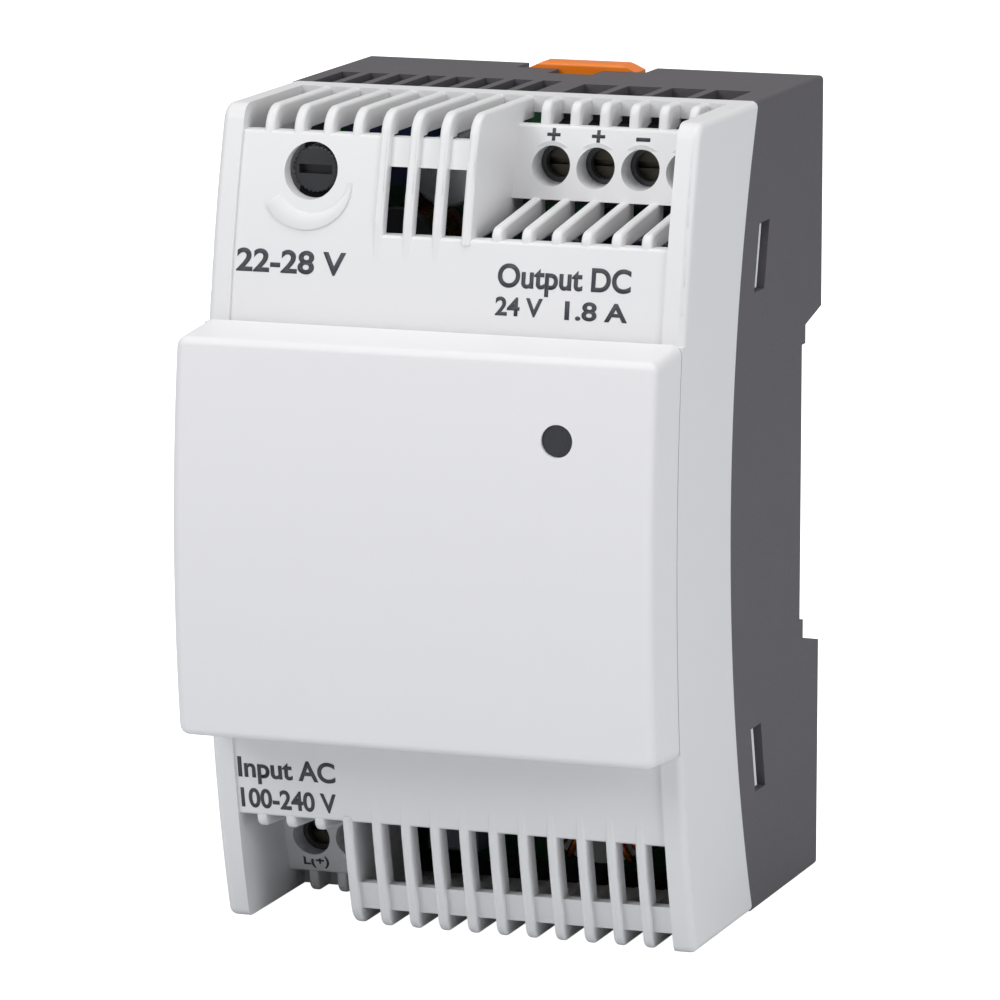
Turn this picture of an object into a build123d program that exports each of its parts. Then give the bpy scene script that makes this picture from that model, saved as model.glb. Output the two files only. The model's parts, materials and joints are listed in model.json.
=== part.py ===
"""DIN rail power supply, three modules wide, as separate pieces.

Frame: +X right, +Y back towards the rail, +Z up, millimetres.
The origin is the centre of the face that seats on the 35 mm rail.
"""
from build123d import *
import math
import os

# ---------------------------------------------------------------- overall
body_width = 54.0           # three 18 mm modules
body_height = 90.0
front_reach = 55.0          # rail seat to the middle of the cover's front
back_reach = 6.0            # rail seat to the housing's back
clearance = 0.1             # between pieces that only touch

# ---------------------------------------------------------------- housing walls and curved outlines
rear_wall = 1.8
front_wall = 1.8
wing_wall = 2.5             # the front housing's side walls
shoulder_setback = 9.3      # cover front to the shoulder's virtual middle
shoulder_rise = 6.9         # how far the shoulder's arc falls back at top and bottom
seam_setback = 27.6         # cover front to the middle of the housing seam
seam_rise = 9.1             # how far the seam's arc falls back at top and bottom
corner_radius = 2.2         # front housing's side walls, top corner
low_corner_radius = 1.1     # the same at the bottom
wing_edge_radius = 0.8
plate_edge_radius = 0.4
rib_edge_radius = 0.35
inner_corner_radius = 0.5
face_inset = 0.3            # shoulder face below the wings' edge
housing_edge_radius = 0.5

# ---------------------------------------------------------------- front cover
cover_height = 44.6         # at its back edge
cover_taper = 0.8           # how far its top and bottom lean in
cover_rise = 1.55           # fall of the front face's arc over the cover's height
cover_edge_setback = 8.6    # cover front to the middle of its back edge
cover_edge_rise = 1.4
cover_wall = 1.6
cover_edge_radius = 1.2
cover_groove = 0.3          # shadow gap between the cover and the wings
cover_skirt_depth = 4.0     # inner lip, behind the back edge
cover_skirt_wall = 1.2
cover_overlap = 1.9         # shoulder plate covered by the cover's edge

# ---------------------------------------------------------------- ribs, windows and vents
rib_pitch = 3.35
rib_phase = 1.85            # centre of the rib that is the terminal recess's wall
rib_width = 1.1
rib_depth = 2.4
window_rib_depth = 1.4      # of the upper ribs where they cross the windows
rib_proud = 0.25            # rib fronts above the shoulder face, on the wings' side of it
rib_corner_radius = 2.9
input_rib_corner_radius = 1.7
rib_fade_length = 4.0       # over which the window ribs rise out of the face
strip_width = 3.4           # closed strip along the seam
plate_drop = 2.7            # housing's top down to the shoulder plate's upper edge
window_drop = 13.05         # housing's top down to the upper windows' edge
rib_fade_drop = 15.7        # housing's top down to where the window ribs start
crossbar_drop = 2.9         # housing's top down to the upper crossbar
crossbar_height = 3.05
input_window_drop = 12.3    # the same three at the bottom
input_rib_fade_drop = 15.2
input_crossbar_drop = 2.0
crossbar_inset = 0.9
crossbar_depth = 1.5
left_ribs = 4               # ribs over the plate with the adjuster
window_ribs = 3             # free ribs across the upper windows
input_window_ribs = 10
input_recess_ribs = 3
output_recess_ribs = 6

# ---------------------------------------------------------------- terminals
terminal_pitch = 5.08
output_poles = 4
input_poles = 2
output_first = 6.5          # x of the first output screw
input_first = 16.37         # x of the first input screw, in the turned-over frame
screw_drop = 6.8            # housing's top down to the output screws
recess_drop = 2.55          # housing's top down to the recess's back face
recess_height = 7.75        # of the terminal recess's back face
recess_top_y = -26.4
recess_low_y = -28.8
recess_wall = 1.5
driver_hole = 4.35          # screwdriver hole in the front housing
driver_collar = 0.5         # wall round the hole, behind the recess's back face
driver_collar_depth = 3.1
input_recess_side = 11.9    # rib that is the input recess's wall, in the turned-over frame
vent_first = 3.55           # left side to the first vent's centre
vent_pitch = 3.39
vent_width = 2.3
vent_back = -8.8
entry_width = 4.0
entry_back = -10.4
output_vents = 8
input_vents = 10

# ---------------------------------------------------------------- circuit board
board_front = -11.0
board_thickness = 1.6
board_gap = 0.4             # board edge to the housing walls
board_edge_gap = 0.4
lead_radius = 0.4
lead_reach = 1.5            # leads behind the board
board_screw_radius = 1.25
board_screw_x = 20.5
board_screw_z = 16.0
board_screw_length = 4.0    # into the post
post_radius = 2.6
ledge_x = 20.0

# ---------------------------------------------------------------- terminal blocks and their clamps
block_front = -24.4
block_step = -18.0          # the block is lower in front of this, under the front housing
block_low_drop = 11.4       # housing's top down to the block's lower face
block_step_drop = 3.1       # housing's top down to the block's front step
block_top_gap = 0.15        # block to the housing's deck
cell_wall = 0.4
cell_drop = 3.8             # housing's top down to the clamps' cells
cell_height = 6.6
cell_back = -12.6
wire_entry = 3.4
wire_front = -16.1
wire_back = -14.3
contact_y = -17.0           # front face of the contact strip
contact_thick = 0.8
contact_drop = 10.1         # housing's top down to the contacts' legs
contact_width = 2.6
contact_leg = 1.2
cage_width = 4.0
cage_side = 0.4
cage_wall = 1.0
cage_front = -19.6
cage_back = -13.2
cage_drop = 4.1             # housing's top down to the raised cages
cage_height = 5.0
screw_head = 3.9
screw_head_height = 2.0
screw_top = -23.3
screw_shank = 2.9           # M3, 0.5 mm pitch
screw_fit = 0.05

# ---------------------------------------------------------------- components: places on the board, (x, z)
bulk_place = (-9.5, -15.3)
bulk_diameter = 16.0
bulk_height = 26.0
bridge_place = (7.5, -13.0)
choke_place = (9.5, -33.3)
choke_outer = 8.3
choke_inner = 3.4
choke_depth = 7.4
choke_wire = 0.9
choke_gap = 4.2
choke_base = 1.5
x_cap_place = (-6.2, -32.0)
filter_cap_place = (20.6, -32.0)
varistor_place = (-12.6, -28.5)
fuse_inset = 5.65           # rear housing's inner side to the fuse's centre
fuse_height = -28.4
switch_place = (19.0, -5.0)
switch_sink = (-13.2, 3.5)
rectifier_place = (-19.5, 6.0)
rectifier_sink = (-2.0, 13.2)
heatsink_height = 26.0
transformer_place = (-4.0, 7.0)
transformer_size = 22.0
transformer_pin_row = 12.5
winding_length = 12.0
winding_radius = 6.6
core_front = -31.0
core_back = -16.0
core_leg = 3.5
core_centre = 3.6
coupling_place = (11.5, 5.0)
coupler_place = (12.5, -5.2)
chip_place = (-3.0, -3.0)
inductor_place = (-13.2, 27.0)
small_cap_place = (-5.7, 36.9)
output_caps = [(8.3, 26.5), (18.5, 26.5)]
output_cap_diameter = 10.0
output_cap_height = 20.0
led_place = (16.3, 13.0)

# ---------------------------------------------------------------- rail seat and latch
rail_width = 35.0           # EN 60715, 35 x 7.5
rail_flange = 1.0
rail_low_fit = 0.15
rail_high_fit = 0.35
seat_step = 2.1             # height of each seating land
pocket_depth = 1.3          # relief between the lands
lip_flare = 1.3             # how far the channel widens towards the back
hook_reach = 1.2            # fixed hooks under the rail's lower flange
hook_inset = 7.0            # side of the housing to the hooks
flange_fit = 0.3            # behind the flange
latch_width = 11.2
latch_plate = 1.9
latch_front = 2.9           # front face of the latch plate
latch_play = 0.15
latch_travel = 2.5
latch_grip_width = 12.8
latch_grip_proud = 0.7
latch_grip_flat = 9.4       # middle of the grip's top; its ends slope down
latch_grip_slope = 0.8
latch_grip_depth = 3.5
latch_grip_height = 2.0
latch_grip_lip = 0.6
latch_hold = 1.5            # nose below the channel's upper lip
nose_height = 2.2
latch_recess_width = 15.2
latch_recess_depth = 4.3
latch_lip = 1.0             # the guide's lips over the latch plate
latch_notch_width = 5.2     # screwdriver notch in front of the grip
latch_notch_depth = 4.0
latch_recess_floor = 2.2
lug_height = 2.4
hook_width = 9.0
spring_wire = 0.4
spring_radius = 1.05        # to the wire's centre
spring_turns = 9
spring_low = 24.0           # where the spring bears on the latch
spring_high = 36.0          # where it bears on the housing's lug

# ---------------------------------------------------------------- snap fits
snap_low = 24.2
snap_high = 31.6
snap_length = 3.7           # window, front to back
snap_setback = 5.4          # window behind the seam
snap_tab = 1.15
snap_tab_root = 3.0         # tab's overlap with the front housing's wall
snap_barb = 2.3

# ---------------------------------------------------------------- indicator and adjuster
indicator_radius = 1.7
indicator_recess = 0.35
led_radius = 1.5
led_height = 4.0
adjuster_x = -16.35
adjuster_drop = 6.7         # housing's top down to the adjuster
adjuster_hole = 6.1
adjuster_head = 5.2
adjuster_sunk = 1.4
adjuster_shaft = 3.0
adjuster_body = 9.0
adjuster_body_depth = 6.0

# ---------------------------------------------------------------- derived
half_width = body_width / 2
half_height = body_height / 2
cover_front_middle = -front_reach
shoulder_middle = -front_reach + shoulder_setback
seam_middle = -front_reach + seam_setback
seam_end = seam_middle + seam_rise
cover_edge_middle = -front_reach + cover_edge_setback
cover_half = cover_height / 2
opening_half = cover_half - cover_overlap
wing_inner = half_width - wing_wall
rear_inner = half_width - rear_wall
rear_inner_z = half_height - rear_wall
board_back = board_front + board_thickness
channel_high = rail_width / 2 + rail_high_fit
channel_low = -rail_width / 2 - rail_low_fit
latch_back = latch_front + latch_plate
latch_middle = (latch_front + latch_back) / 2
block_top = rear_inner_z - block_top_gap
nose_front = rail_flange + flange_fit
plate_edge = half_height - plate_drop
screw_height = half_height - screw_drop
recess_top = half_height - recess_drop
recess_low = recess_top - recess_height
block_low = half_height - block_low_drop
block_step_top = half_height - block_step_drop
cell_high = half_height - cell_drop
cell_low = cell_high - cell_height
contact_low = half_height - contact_drop
cage_high = half_height - cage_drop
cage_low = cage_high - cage_height
adjuster_z = half_height - adjuster_drop
fuse_place = (fuse_inset - rear_inner, fuse_height)


# ================================================================ helpers
def block(x_low, x_high, y_low, y_high, z_low, z_high):
    """A box between two corners."""
    size = (x_high - x_low, y_high - y_low, z_high - z_low)
    centre = ((x_low + x_high) / 2, (y_low + y_high) / 2, (z_low + z_high) / 2)
    return Pos(*centre) * Box(*size)


def rod(x, z, radius, y_low, y_high):
    """A round bar along Y."""
    centre = Pos(x, (y_low + y_high) / 2, z)
    return centre * Rot(90, 0, 0) * Cylinder(radius, y_high - y_low)


def outline(*points):
    """A closed outline of straight edges, as (y, z) points."""
    return make_face(Polyline(*points, close=True))


def window(y_low, y_high, z_low, z_high):
    """A rectangle in the side view."""
    centre = Pos((y_low + y_high) / 2, (z_low + z_high) / 2)
    return centre * Rectangle(y_high - y_low, z_high - z_low)


def slab(profile, x_low, x_high):
    """A side-view profile, extruded from x_low to x_high."""
    return extrude(Plane.YZ.offset(x_low) * profile, x_high - x_low, dir=(1, 0, 0))


def turned(shape):
    """The same shape at the other end: half a turn about the Y axis."""
    return Rot(0, 180, 0) * shape


def arc_radius(rise, half_chord):
    return (half_chord ** 2 + rise ** 2) / (2 * rise)


def behind_arc(middle, rise, half_chord, inset=0.0):
    """Everything behind an arc that bulges to the front, in the side view."""
    radius = arc_radius(rise, half_chord)
    return Pos(middle + radius, 0) * Circle(radius - inset)


def arc_y(middle, rise, half_chord, z, inset=0.0):
    """Where that arc lies at height z."""
    radius = arc_radius(rise, half_chord)
    return middle + radius - math.sqrt((radius - inset) ** 2 - z ** 2)


def shoulder_y(z, inset=0.0):
    return arc_y(shoulder_middle, shoulder_rise, half_height, z, inset)


def seam_y(z):
    return arc_y(seam_middle, seam_rise, half_height, z)


def behind_seam(shift=0.0):
    return behind_arc(seam_middle + shift, seam_rise, half_height)


def shell_profile(inset=0.0, top_inset=0.0, corner=corner_radius, low_corner=low_corner_radius):
    """Side view of the front housing, from its curved front to the seam."""
    top = half_height - top_inset
    body = behind_arc(shoulder_middle, shoulder_rise, half_height, inset)
    body = body & window(shoulder_middle - 1, 0, -top, top)
    body = fillet(body.vertices().filter_by(lambda v: v.X < seam_end and v.Y > 0), corner)
    return fillet(body.vertices().filter_by(lambda v: v.X < seam_end and v.Y < 0).sort_by(Axis.Y)[0], low_corner) - behind_seam()


def face_band(front_inset, back_inset, z_low, z_high):
    """A curved strip of wall under the shoulder's surface."""
    outer = behind_arc(shoulder_middle, shoulder_rise, half_height, front_inset)
    inner = behind_arc(shoulder_middle, shoulder_rise, half_height, back_inset)
    return (outer - inner) & window(shoulder_middle - 1, 0, z_low, z_high)


def rib_x(index):
    """Centre of a rib, counted from the terminal recess's wall."""
    return rib_phase + rib_pitch * index


def leads_hole(points):
    """Holes in the board for a component's leads."""
    return [rod(x, z, lead_radius + clearance, board_front - 1, board_back + 1) for x, z in points]


def leads(points, top=board_front):
    """Wire leads from a component through the board."""
    return [rod(x, z, lead_radius, top, board_back + lead_reach) for x, z in points]


def join(*shapes):
    """Fuse shapes and lists of shapes into one."""
    flat = []
    for shape in shapes:
        flat += list(shape) if isinstance(shape, list) else [shape]
    result = flat[0]
    if len(flat) > 1:
        result = result.fuse(*flat[1:])
    return result


def cut(shape, *tools):
    """Cut shapes and lists of shapes out of one."""
    for tool in tools:
        for item in (tool if isinstance(tool, list) else [tool]):
            shape = shape - item
    return shape


def save(name, shape):
    export_step(shape, f"parts/{name}.step")


# ================================================================ housings
def rail_channel():
    """Side view of the space that the rail takes, with its seating lands."""
    back = back_reach + 1
    flare = lip_flare * back / back_reach
    return outline(
        (0, channel_low),
        (back, channel_low - flare),
        (back, channel_high + flare),
        (0, channel_high),
        (0, channel_high - seat_step),
        (pocket_depth * -1, channel_high - seat_step),
        (pocket_depth * -1, channel_low + seat_step),
        (0, channel_low + seat_step),
    )


def rear_cavity():
    """Side view of the rear housing's inside."""
    bulge_top = channel_high + lip_flare + rear_wall
    bulge_low = channel_low - lip_flare - rear_wall
    floor = -pocket_depth - rear_wall
    inner_back = back_reach - rear_wall
    return outline(
        (shoulder_middle, -rear_inner_z),
        (inner_back, -rear_inner_z),
        (inner_back, bulge_low),
        (floor, bulge_low),
        (floor, bulge_top),
        (inner_back, bulge_top),
        (inner_back, rear_inner_z),
        (shoulder_middle, rear_inner_z),
    )


def vent_x(index):
    """Centre of a vent slot in the deck, counted from the left wall."""
    return -half_width + vent_first + vent_pitch * index


def deck_openings():
    """Vents and wire entries through the top deck, at its seam."""
    low = rear_inner_z - 1
    high = half_height + 1
    cuts = []
    for index in range(output_vents):
        x = vent_x(index)
        cuts.append(block(x - vent_width / 2, x + vent_width / 2, seam_middle, vent_back, low, high))
    for pole in range(output_poles):
        x = output_first + terminal_pitch * pole
        cuts.append(block(x - entry_width / 2, x + entry_width / 2, seam_middle, entry_back, low, high))
    return cuts


def floor_openings():
    """The same through the bottom deck, in the turned-over frame."""
    low = rear_inner_z - 1
    high = half_height + 1
    cuts = []
    for index in range(input_vents):
        x = vent_x(index)
        cuts.append(block(x - vent_width / 2, x + vent_width / 2, seam_middle, vent_back, low, high))
    for pole in range(input_poles):
        x = input_first + terminal_pitch * pole
        cuts.append(block(x - entry_width / 2, x + entry_width / 2, seam_middle, entry_back, low, high))
    return [turned(item) for item in cuts]


def snap_profile(shrink, length):
    """Side view of a snap window or its tab, slanted along the seam."""
    low = snap_low + shrink
    high = snap_high - shrink
    return outline(
        (seam_y(low) + snap_setback + shrink, low),
        (seam_y(low) + snap_setback + length, low),
        (seam_y(high) + snap_setback + length, high),
        (seam_y(high) + snap_setback + shrink, high),
    )


def four_corners(shape):
    """Copies at both sides, top and bottom."""
    right = [shape, shape.mirror(Plane.XY)]
    return right + [item.mirror(Plane.YZ) for item in right]


def board_posts():
    """Posts that the circuit board is screwed to."""
    posts = []
    for x in (-board_screw_x, board_screw_x):
        for z in (-board_screw_z, board_screw_z):
            post = rod(x, z, post_radius, board_back, -pocket_depth - rear_wall + 0.5)
            hole = rod(x, z, board_screw_radius - 0.3, board_back - 1, board_back + board_screw_length)
            posts.append(post - hole)
    return posts


def edge_ledges():
    """Ledges behind the board's top and bottom edges, under the terminal blocks."""
    ledges = []
    for x in (-ledge_x, ledge_x):
        ledges.append(block(x - 2, x + 2, board_back, latch_front, rear_inner_z - 2, rear_inner_z + 0.5))
    return ledges + [turned(item) for item in ledges]


def latch_guide():
    """Space for the latch: a channel up the back, its nose, its spring and its grip."""
    low = channel_high - 1
    high = half_height + 1
    half = latch_width / 2 + latch_play
    lip_half = half - latch_lip
    channel = block(-half, half, latch_front - latch_play, latch_back + latch_play, low, high)
    mouth = block(-lip_half, lip_half, latch_back, back_reach + 1, low, high)
    nose_high = channel_high + nose_height + latch_travel + latch_play
    nose = block(-half, half, nose_front - latch_play, back_reach + 1, low, nose_high)
    coil = spring_radius + spring_wire / 2 + latch_play
    groove = block(-coil, coil, latch_middle - coil, latch_back, spring_low, spring_high)
    recess_half = latch_recess_width / 2
    recess_low = half_height - latch_recess_floor
    recess_front = back_reach - latch_recess_depth
    recess = block(-recess_half, recess_half, recess_front, back_reach + 1, recess_low, high)
    notch_half = latch_notch_width / 2
    notch = block(-notch_half, notch_half, recess_front - latch_notch_depth, recess_front + 1, recess_low, high)
    return [channel, mouth, nose, groove, recess, notch]


def latch_lug():
    """The lug that the latch's spring bears against."""
    half = spring_radius + spring_wire
    return block(-half, half, latch_front - latch_play - 0.5, latch_back, spring_high, spring_high + lug_height)


def latch_guide_body():
    """Material around the latch's channel and its grip's recess, inside the housing."""
    half = latch_width / 2 + latch_play + rear_wall
    front = nose_front - latch_play - rear_wall
    spine = block(-half, half, front, back_reach - 0.5, channel_high + lip_flare, half_height - 0.5)
    half = latch_recess_width / 2 + rear_wall
    front = back_reach - latch_recess_depth - rear_wall
    low = half_height - latch_recess_floor - rear_wall
    pocket = block(-half, half, front, back_reach - 0.5, low, half_height - 0.5)
    half = latch_notch_width / 2 + rear_wall
    tongue = block(-half, half, front - latch_notch_depth, front + 1, low, half_height - 0.5)
    return [spine, pocket, tongue]


def fixed_hooks():
    """Two hooks under the rail's lower flange."""
    profile = outline(
        (rail_flange + flange_fit, channel_low - 1),
        (rail_flange + flange_fit, channel_low + hook_reach),
        (back_reach - 1.8, channel_low + hook_reach - 0.3),
        (back_reach, channel_low - lip_flare),
        (back_reach, channel_low - lip_flare - 1),
    )
    left = slab(profile, -half_width + hook_inset, -half_width + hook_inset + hook_width)
    right = slab(profile, half_width - hook_inset - hook_width, half_width - hook_inset)
    return [left, right]


def make_rear_housing():
    outer = window(-front_reach, back_reach, -half_height, half_height) & behind_seam()
    body = slab(outer - rail_channel(), -half_width, half_width)
    edges = body.edges().filter_by(Axis.Y).filter_by(lambda e: abs(e.center().Z) > half_height - 0.5)
    body = fillet(edges, housing_edge_radius)
    body = body - slab(rear_cavity(), -rear_inner, rear_inner)
    body = join(body, latch_guide_body(), fixed_hooks(), board_posts(), edge_ledges())
    body = cut(body, latch_guide(), deck_openings(), floor_openings())
    body = body + latch_lug()
    snap = slab(snap_profile(0, snap_length), half_width - rear_wall - 1, half_width + 1)
    return cut(body, four_corners(snap))


def rib_ring(inset, depth, z_low, corner):
    """Side view of a rib of even depth, from z_low over the corner to the strip."""
    top_inset = face_inset - rib_proud
    outer = shell_profile(inset, top_inset, corner)
    inner = shell_profile(inset + depth, top_inset + rib_depth, inner_corner_radius)
    return (outer - inner) & window(-front_reach, seam_end - strip_width + 0.5, z_low, half_height)


def comb_profile():
    """Side view of the ribs that run from the shoulder plate over the corner to the strip."""
    return rib_ring(face_inset, rib_depth, plate_edge - 1.2, rib_corner_radius)


def window_rib_profile(depth, fade_drop, corner):
    """Side view of the ribs that also run down across the windows and fade into the face."""
    z_low = half_height - fade_drop
    z_full = z_low + rib_fade_length
    proud = face_inset - rib_proud
    front = shoulder_y(z_low, face_inset)
    taper = outline(
        (front, z_low),
        (shoulder_y(z_full, proud), z_full),
        (shoulder_y(z_full, proud) - 1, z_full),
        (front - 1, z_low),
    )
    return rib_ring(proud, depth, z_low, corner) + rib_ring(proud, rib_depth, plate_edge, corner) - taper


def on_outside(edge):
    """Whether an edge of a rib's side lies on the housing's outer face, not on the rib's back."""
    middle = edge @ 0.5
    if abs((edge % 0.5).X) > 0.5:
        return False
    face_y = shoulder_y(min(middle.Z, half_height - 0.1), face_inset)
    return middle.Y < face_y + 1.0 or middle.Z > half_height - face_inset - 0.1


def rib(profile, x):
    """A rib with softened outer edges."""
    body = slab(profile, x - rib_width / 2, x + rib_width / 2)
    return fillet(body.edges().filter_by(on_outside), rib_edge_radius)


def seam_strip(x_low, x_high):
    """The closed strip along the seam, at the top."""
    profile = shell_profile(0) & window(seam_end - strip_width, 0, half_height - front_wall, half_height)
    return slab(profile, x_low, x_high)


def plate(x_low, x_high, z_high):
    """A stretch of shoulder plate, from under the cover up to z_high."""
    body = slab(face_band(face_inset, face_inset + front_wall, opening_half, z_high), x_low, x_high)
    end = body.edges().filter_by(Axis.X).filter_by(lambda e: e.center().Z > z_high - 0.1)
    return fillet(end.sort_by(Axis.Y)[0], plate_edge_radius)


def crossbar(x_low, x_high, drop):
    """A bar across the windows, behind the ribs."""
    z_high = half_height - drop
    profile = face_band(crossbar_inset, crossbar_inset + crossbar_depth, z_high - crossbar_height, z_high)
    return slab(profile, x_low, x_high)


def recess_back_profile():
    """Side view of the terminal recess's back wall."""
    shape = outline(
        (recess_low_y, recess_low),
        (recess_top_y, recess_top),
        (recess_top_y + recess_wall, recess_top),
        (recess_low_y + recess_wall, recess_low),
    )
    return fillet(shape.vertices().sort_by(Axis.Y)[-2:].sort_by(Axis.X)[0], plate_edge_radius)


def grille_profile(window_edge):
    """Side view of the sloping ribs below the terminal recess."""
    front = shoulder_y(window_edge + 1.3, face_inset) - 0.1
    shape = outline(
        (recess_low_y + recess_wall, recess_low + 0.35),
        (front, window_edge + 1.3),
        (shoulder_y(window_edge - 0.6, face_inset + 0.1), window_edge - 0.6),
        (shoulder_y(window_edge - 0.6, face_inset + front_wall), window_edge - 0.6),
        (recess_low_y + recess_wall, recess_low - rib_depth + 0.3),
    )
    corner = shape.vertices().filter_by(lambda v: v.X < front + 0.01 and v.Y > window_edge + 1)
    return fillet(corner, 1.2)


def hood_rib_profile():
    """Side view of the short ribs between the recess's back face and the strip."""
    shape = outline(
        (recess_top_y + 0.3, recess_top - 0.6),
        (recess_top_y + 0.9, half_height - 0.02),
        (seam_end - strip_width + 0.5, half_height - 0.02),
        (seam_end - strip_width + 0.5, half_height - rib_depth),
        (recess_top_y + recess_wall, recess_top - 0.6),
    )
    corner = shape.vertices().filter_by(lambda v: v.X < recess_top_y + 1 and v.Y > half_height - 0.1)
    return fillet(corner, 1.4)


def recess_wall_profile(window_edge):
    """Side view of the wall beside the terminal recess."""
    proud = face_inset - rib_proud
    body = shell_profile(proud, proud, rib_corner_radius)
    back = recess_top_y + recess_wall
    keep = outline(
        (-front_reach, window_edge - 0.6),
        (shoulder_y(window_edge - 0.6, front_wall), window_edge - 0.6),
        (back, recess_low - rib_depth),
        (back, half_height - rib_depth),
        (seam_end - strip_width + 0.5, half_height - rib_depth),
        (seam_end - strip_width + 0.5, half_height),
        (-front_reach, half_height),
    )
    return body & keep


def driver_hole_tools(x):
    """A screwdriver hole's collar and its bore."""
    middle = (recess_low_y + recess_top_y) / 2
    radius = driver_hole / 2
    collar = rod(x, screw_height, radius + driver_collar, middle + 0.5, middle + driver_collar_depth)
    return collar, rod(x, screw_height, radius, recess_low_y - 5, recess_top_y + 5)


def terminal_recess(wall_x, rib_xs, screw_xs, window_edge):
    """The recess in front of a terminal block, at the top right."""
    inner = wall_x + rib_width / 2
    wall = rib(recess_wall_profile(window_edge), wall_x)
    back = slab(recess_back_profile(), wall_x, wing_inner + 0.5)
    tools = [driver_hole_tools(x) for x in screw_xs]
    back = cut(join(back, [collar for collar, _ in tools]), [bore for _, bore in tools])
    grille = [rib(grille_profile(window_edge), x) for x in rib_xs]
    hood = [rib(hood_rib_profile(), x) for x in rib_xs]
    side = block(inner - rib_width, inner, recess_top_y, recess_top_y + recess_wall, recess_low, recess_top)
    return [wall, back, side] + grille + hood


def wings():
    """Both side walls, raised to the cover's edge between the shoulders."""
    raised = behind_arc(cover_edge_middle, cover_edge_rise, cover_half, cover_groove)
    seat = (raised & window(-front_reach, 0, -cover_half + 0.3, cover_half - 0.3)) - behind_seam()
    body = slab(shell_profile(), wing_inner, half_width)
    outer = body.edges().filter_by(lambda e: e.center().X > half_width - 0.1)
    outer = outer.filter_by(lambda e: (e @ 0.5).Y < seam_y((e @ 0.5).Z) - 0.5)
    body = fillet(outer, wing_edge_radius) + slab(seat, wing_inner, half_width)
    return [body, body.mirror(Plane.YZ)]


def shoulder_steps():
    """Webs behind the cover's top and bottom edges, across the opening."""
    depth = front_wall + 2.5
    profile = face_band(face_inset + 0.5, face_inset + depth, opening_half, opening_half + 1.2)
    web = slab(profile, -wing_inner - 0.5, wing_inner + 0.5)
    return [web, turned(web)]


def snap_tabs():
    """Tabs that reach into the rear housing, with barbs in its windows."""
    low = snap_low + 0.5
    high = snap_high - 0.5
    end = seam_y(snap_high) + snap_setback + snap_length
    tab_profile = window(-front_reach, end, low, high) & behind_seam(-snap_tab_root)
    tab = slab(tab_profile, rear_inner - clearance - snap_tab, rear_inner - clearance)
    root = slab(tab_profile - behind_seam(0), wing_inner - 0.9, wing_inner + 0.6)
    barb = slab(snap_profile(0.3, snap_barb), rear_inner - clearance - 0.3, half_width - 0.5)
    return four_corners(join(tab, root, barb))


def output_end():
    """The top of the front housing: plate with the adjuster, windows, terminal recess."""
    window_edge = half_height - window_drop
    window_start = rib_x(-window_ribs)
    screws = [output_first + terminal_pitch * pole for pole in range(output_poles)]
    left = plate(-wing_inner - 0.5, window_start, plate_edge)
    left = left - rod(adjuster_x, adjuster_z, adjuster_hole / 2, -front_reach, seam_middle)
    shapes = [left, plate(window_start, wing_inner + 0.5, window_edge)]
    shapes += [crossbar(window_start, rib_phase, crossbar_drop)]
    shapes += [seam_strip(-wing_inner - 0.5, wing_inner + 0.5)]
    shapes += [rib(comb_profile(), rib_x(-window_ribs - 1 - index)) for index in range(left_ribs)]
    profile = window_rib_profile(window_rib_depth, rib_fade_drop, rib_corner_radius)
    shapes += [rib(profile, rib_x(-1 - index)) for index in range(window_ribs)]
    recess_ribs = [rib_x(index + 1) for index in range(output_recess_ribs)]
    return shapes + terminal_recess(rib_phase, recess_ribs, screws, window_edge)


def input_end():
    """The bottom of the front housing, in the turned-over frame: windows, terminal recess."""
    window_edge = half_height - input_window_drop
    screws = [input_first + terminal_pitch * pole for pole in range(input_poles)]
    shapes = [plate(-wing_inner - 0.5, wing_inner + 0.5, window_edge)]
    shapes += [crossbar(-wing_inner - 0.5, input_recess_side, input_crossbar_drop)]
    shapes += [seam_strip(-wing_inner - 0.5, wing_inner + 0.5)]
    profile = window_rib_profile(rib_depth, input_rib_fade_drop, input_rib_corner_radius)
    rib_xs = [input_recess_side - rib_pitch * (index + 1) for index in range(input_window_ribs)]
    shapes += [rib(profile, x) for x in rib_xs]
    recess_ribs = [input_recess_side + rib_pitch * (index + 1) for index in range(input_recess_ribs)]
    return shapes + terminal_recess(input_recess_side, recess_ribs, screws, window_edge)


def make_front_housing():
    shapes = wings() + shoulder_steps() + snap_tabs()
    return join(shapes, output_end(), [turned(item) for item in input_end()])


def cover_outline():
    """Side view of the cover: curved front, leaning top and bottom, curved back edge."""
    front_half = cover_half - cover_taper
    front = behind_arc(cover_front_middle, cover_rise, front_half)
    back = behind_arc(cover_edge_middle, cover_edge_rise, cover_half)
    edge_y = cover_edge_middle + cover_edge_rise
    sides = outline(
        (cover_front_middle - 1, front_half),
        (edge_y + 2, cover_half + 0.2),
        (edge_y + 2, -cover_half - 0.2),
        (cover_front_middle - 1, -front_half),
    )
    return (front & sides) - back


def make_front_cover():
    profile = cover_outline()
    body = slab(profile, -half_width, half_width)
    corners = body.edges().filter_by(Axis.Y, tolerance=15)
    body = fillet(corners, cover_edge_radius)
    front_edges = body.faces().sort_by(Axis.Y)[0].edges()
    body = fillet(front_edges, cover_edge_radius - 0.2)
    inner_front = behind_arc(cover_front_middle + cover_wall, cover_rise, cover_half)
    hollow = inner_front & window(-front_reach, 0, -cover_half + cover_wall + 0.4, cover_half - cover_wall - 0.4)
    body = body - slab(hollow, -half_width + cover_wall, half_width - cover_wall)
    return cut(join(body, cover_skirt()), rod(*led_place, indicator_radius + 0.05, -front_reach - 1, -20))


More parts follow.
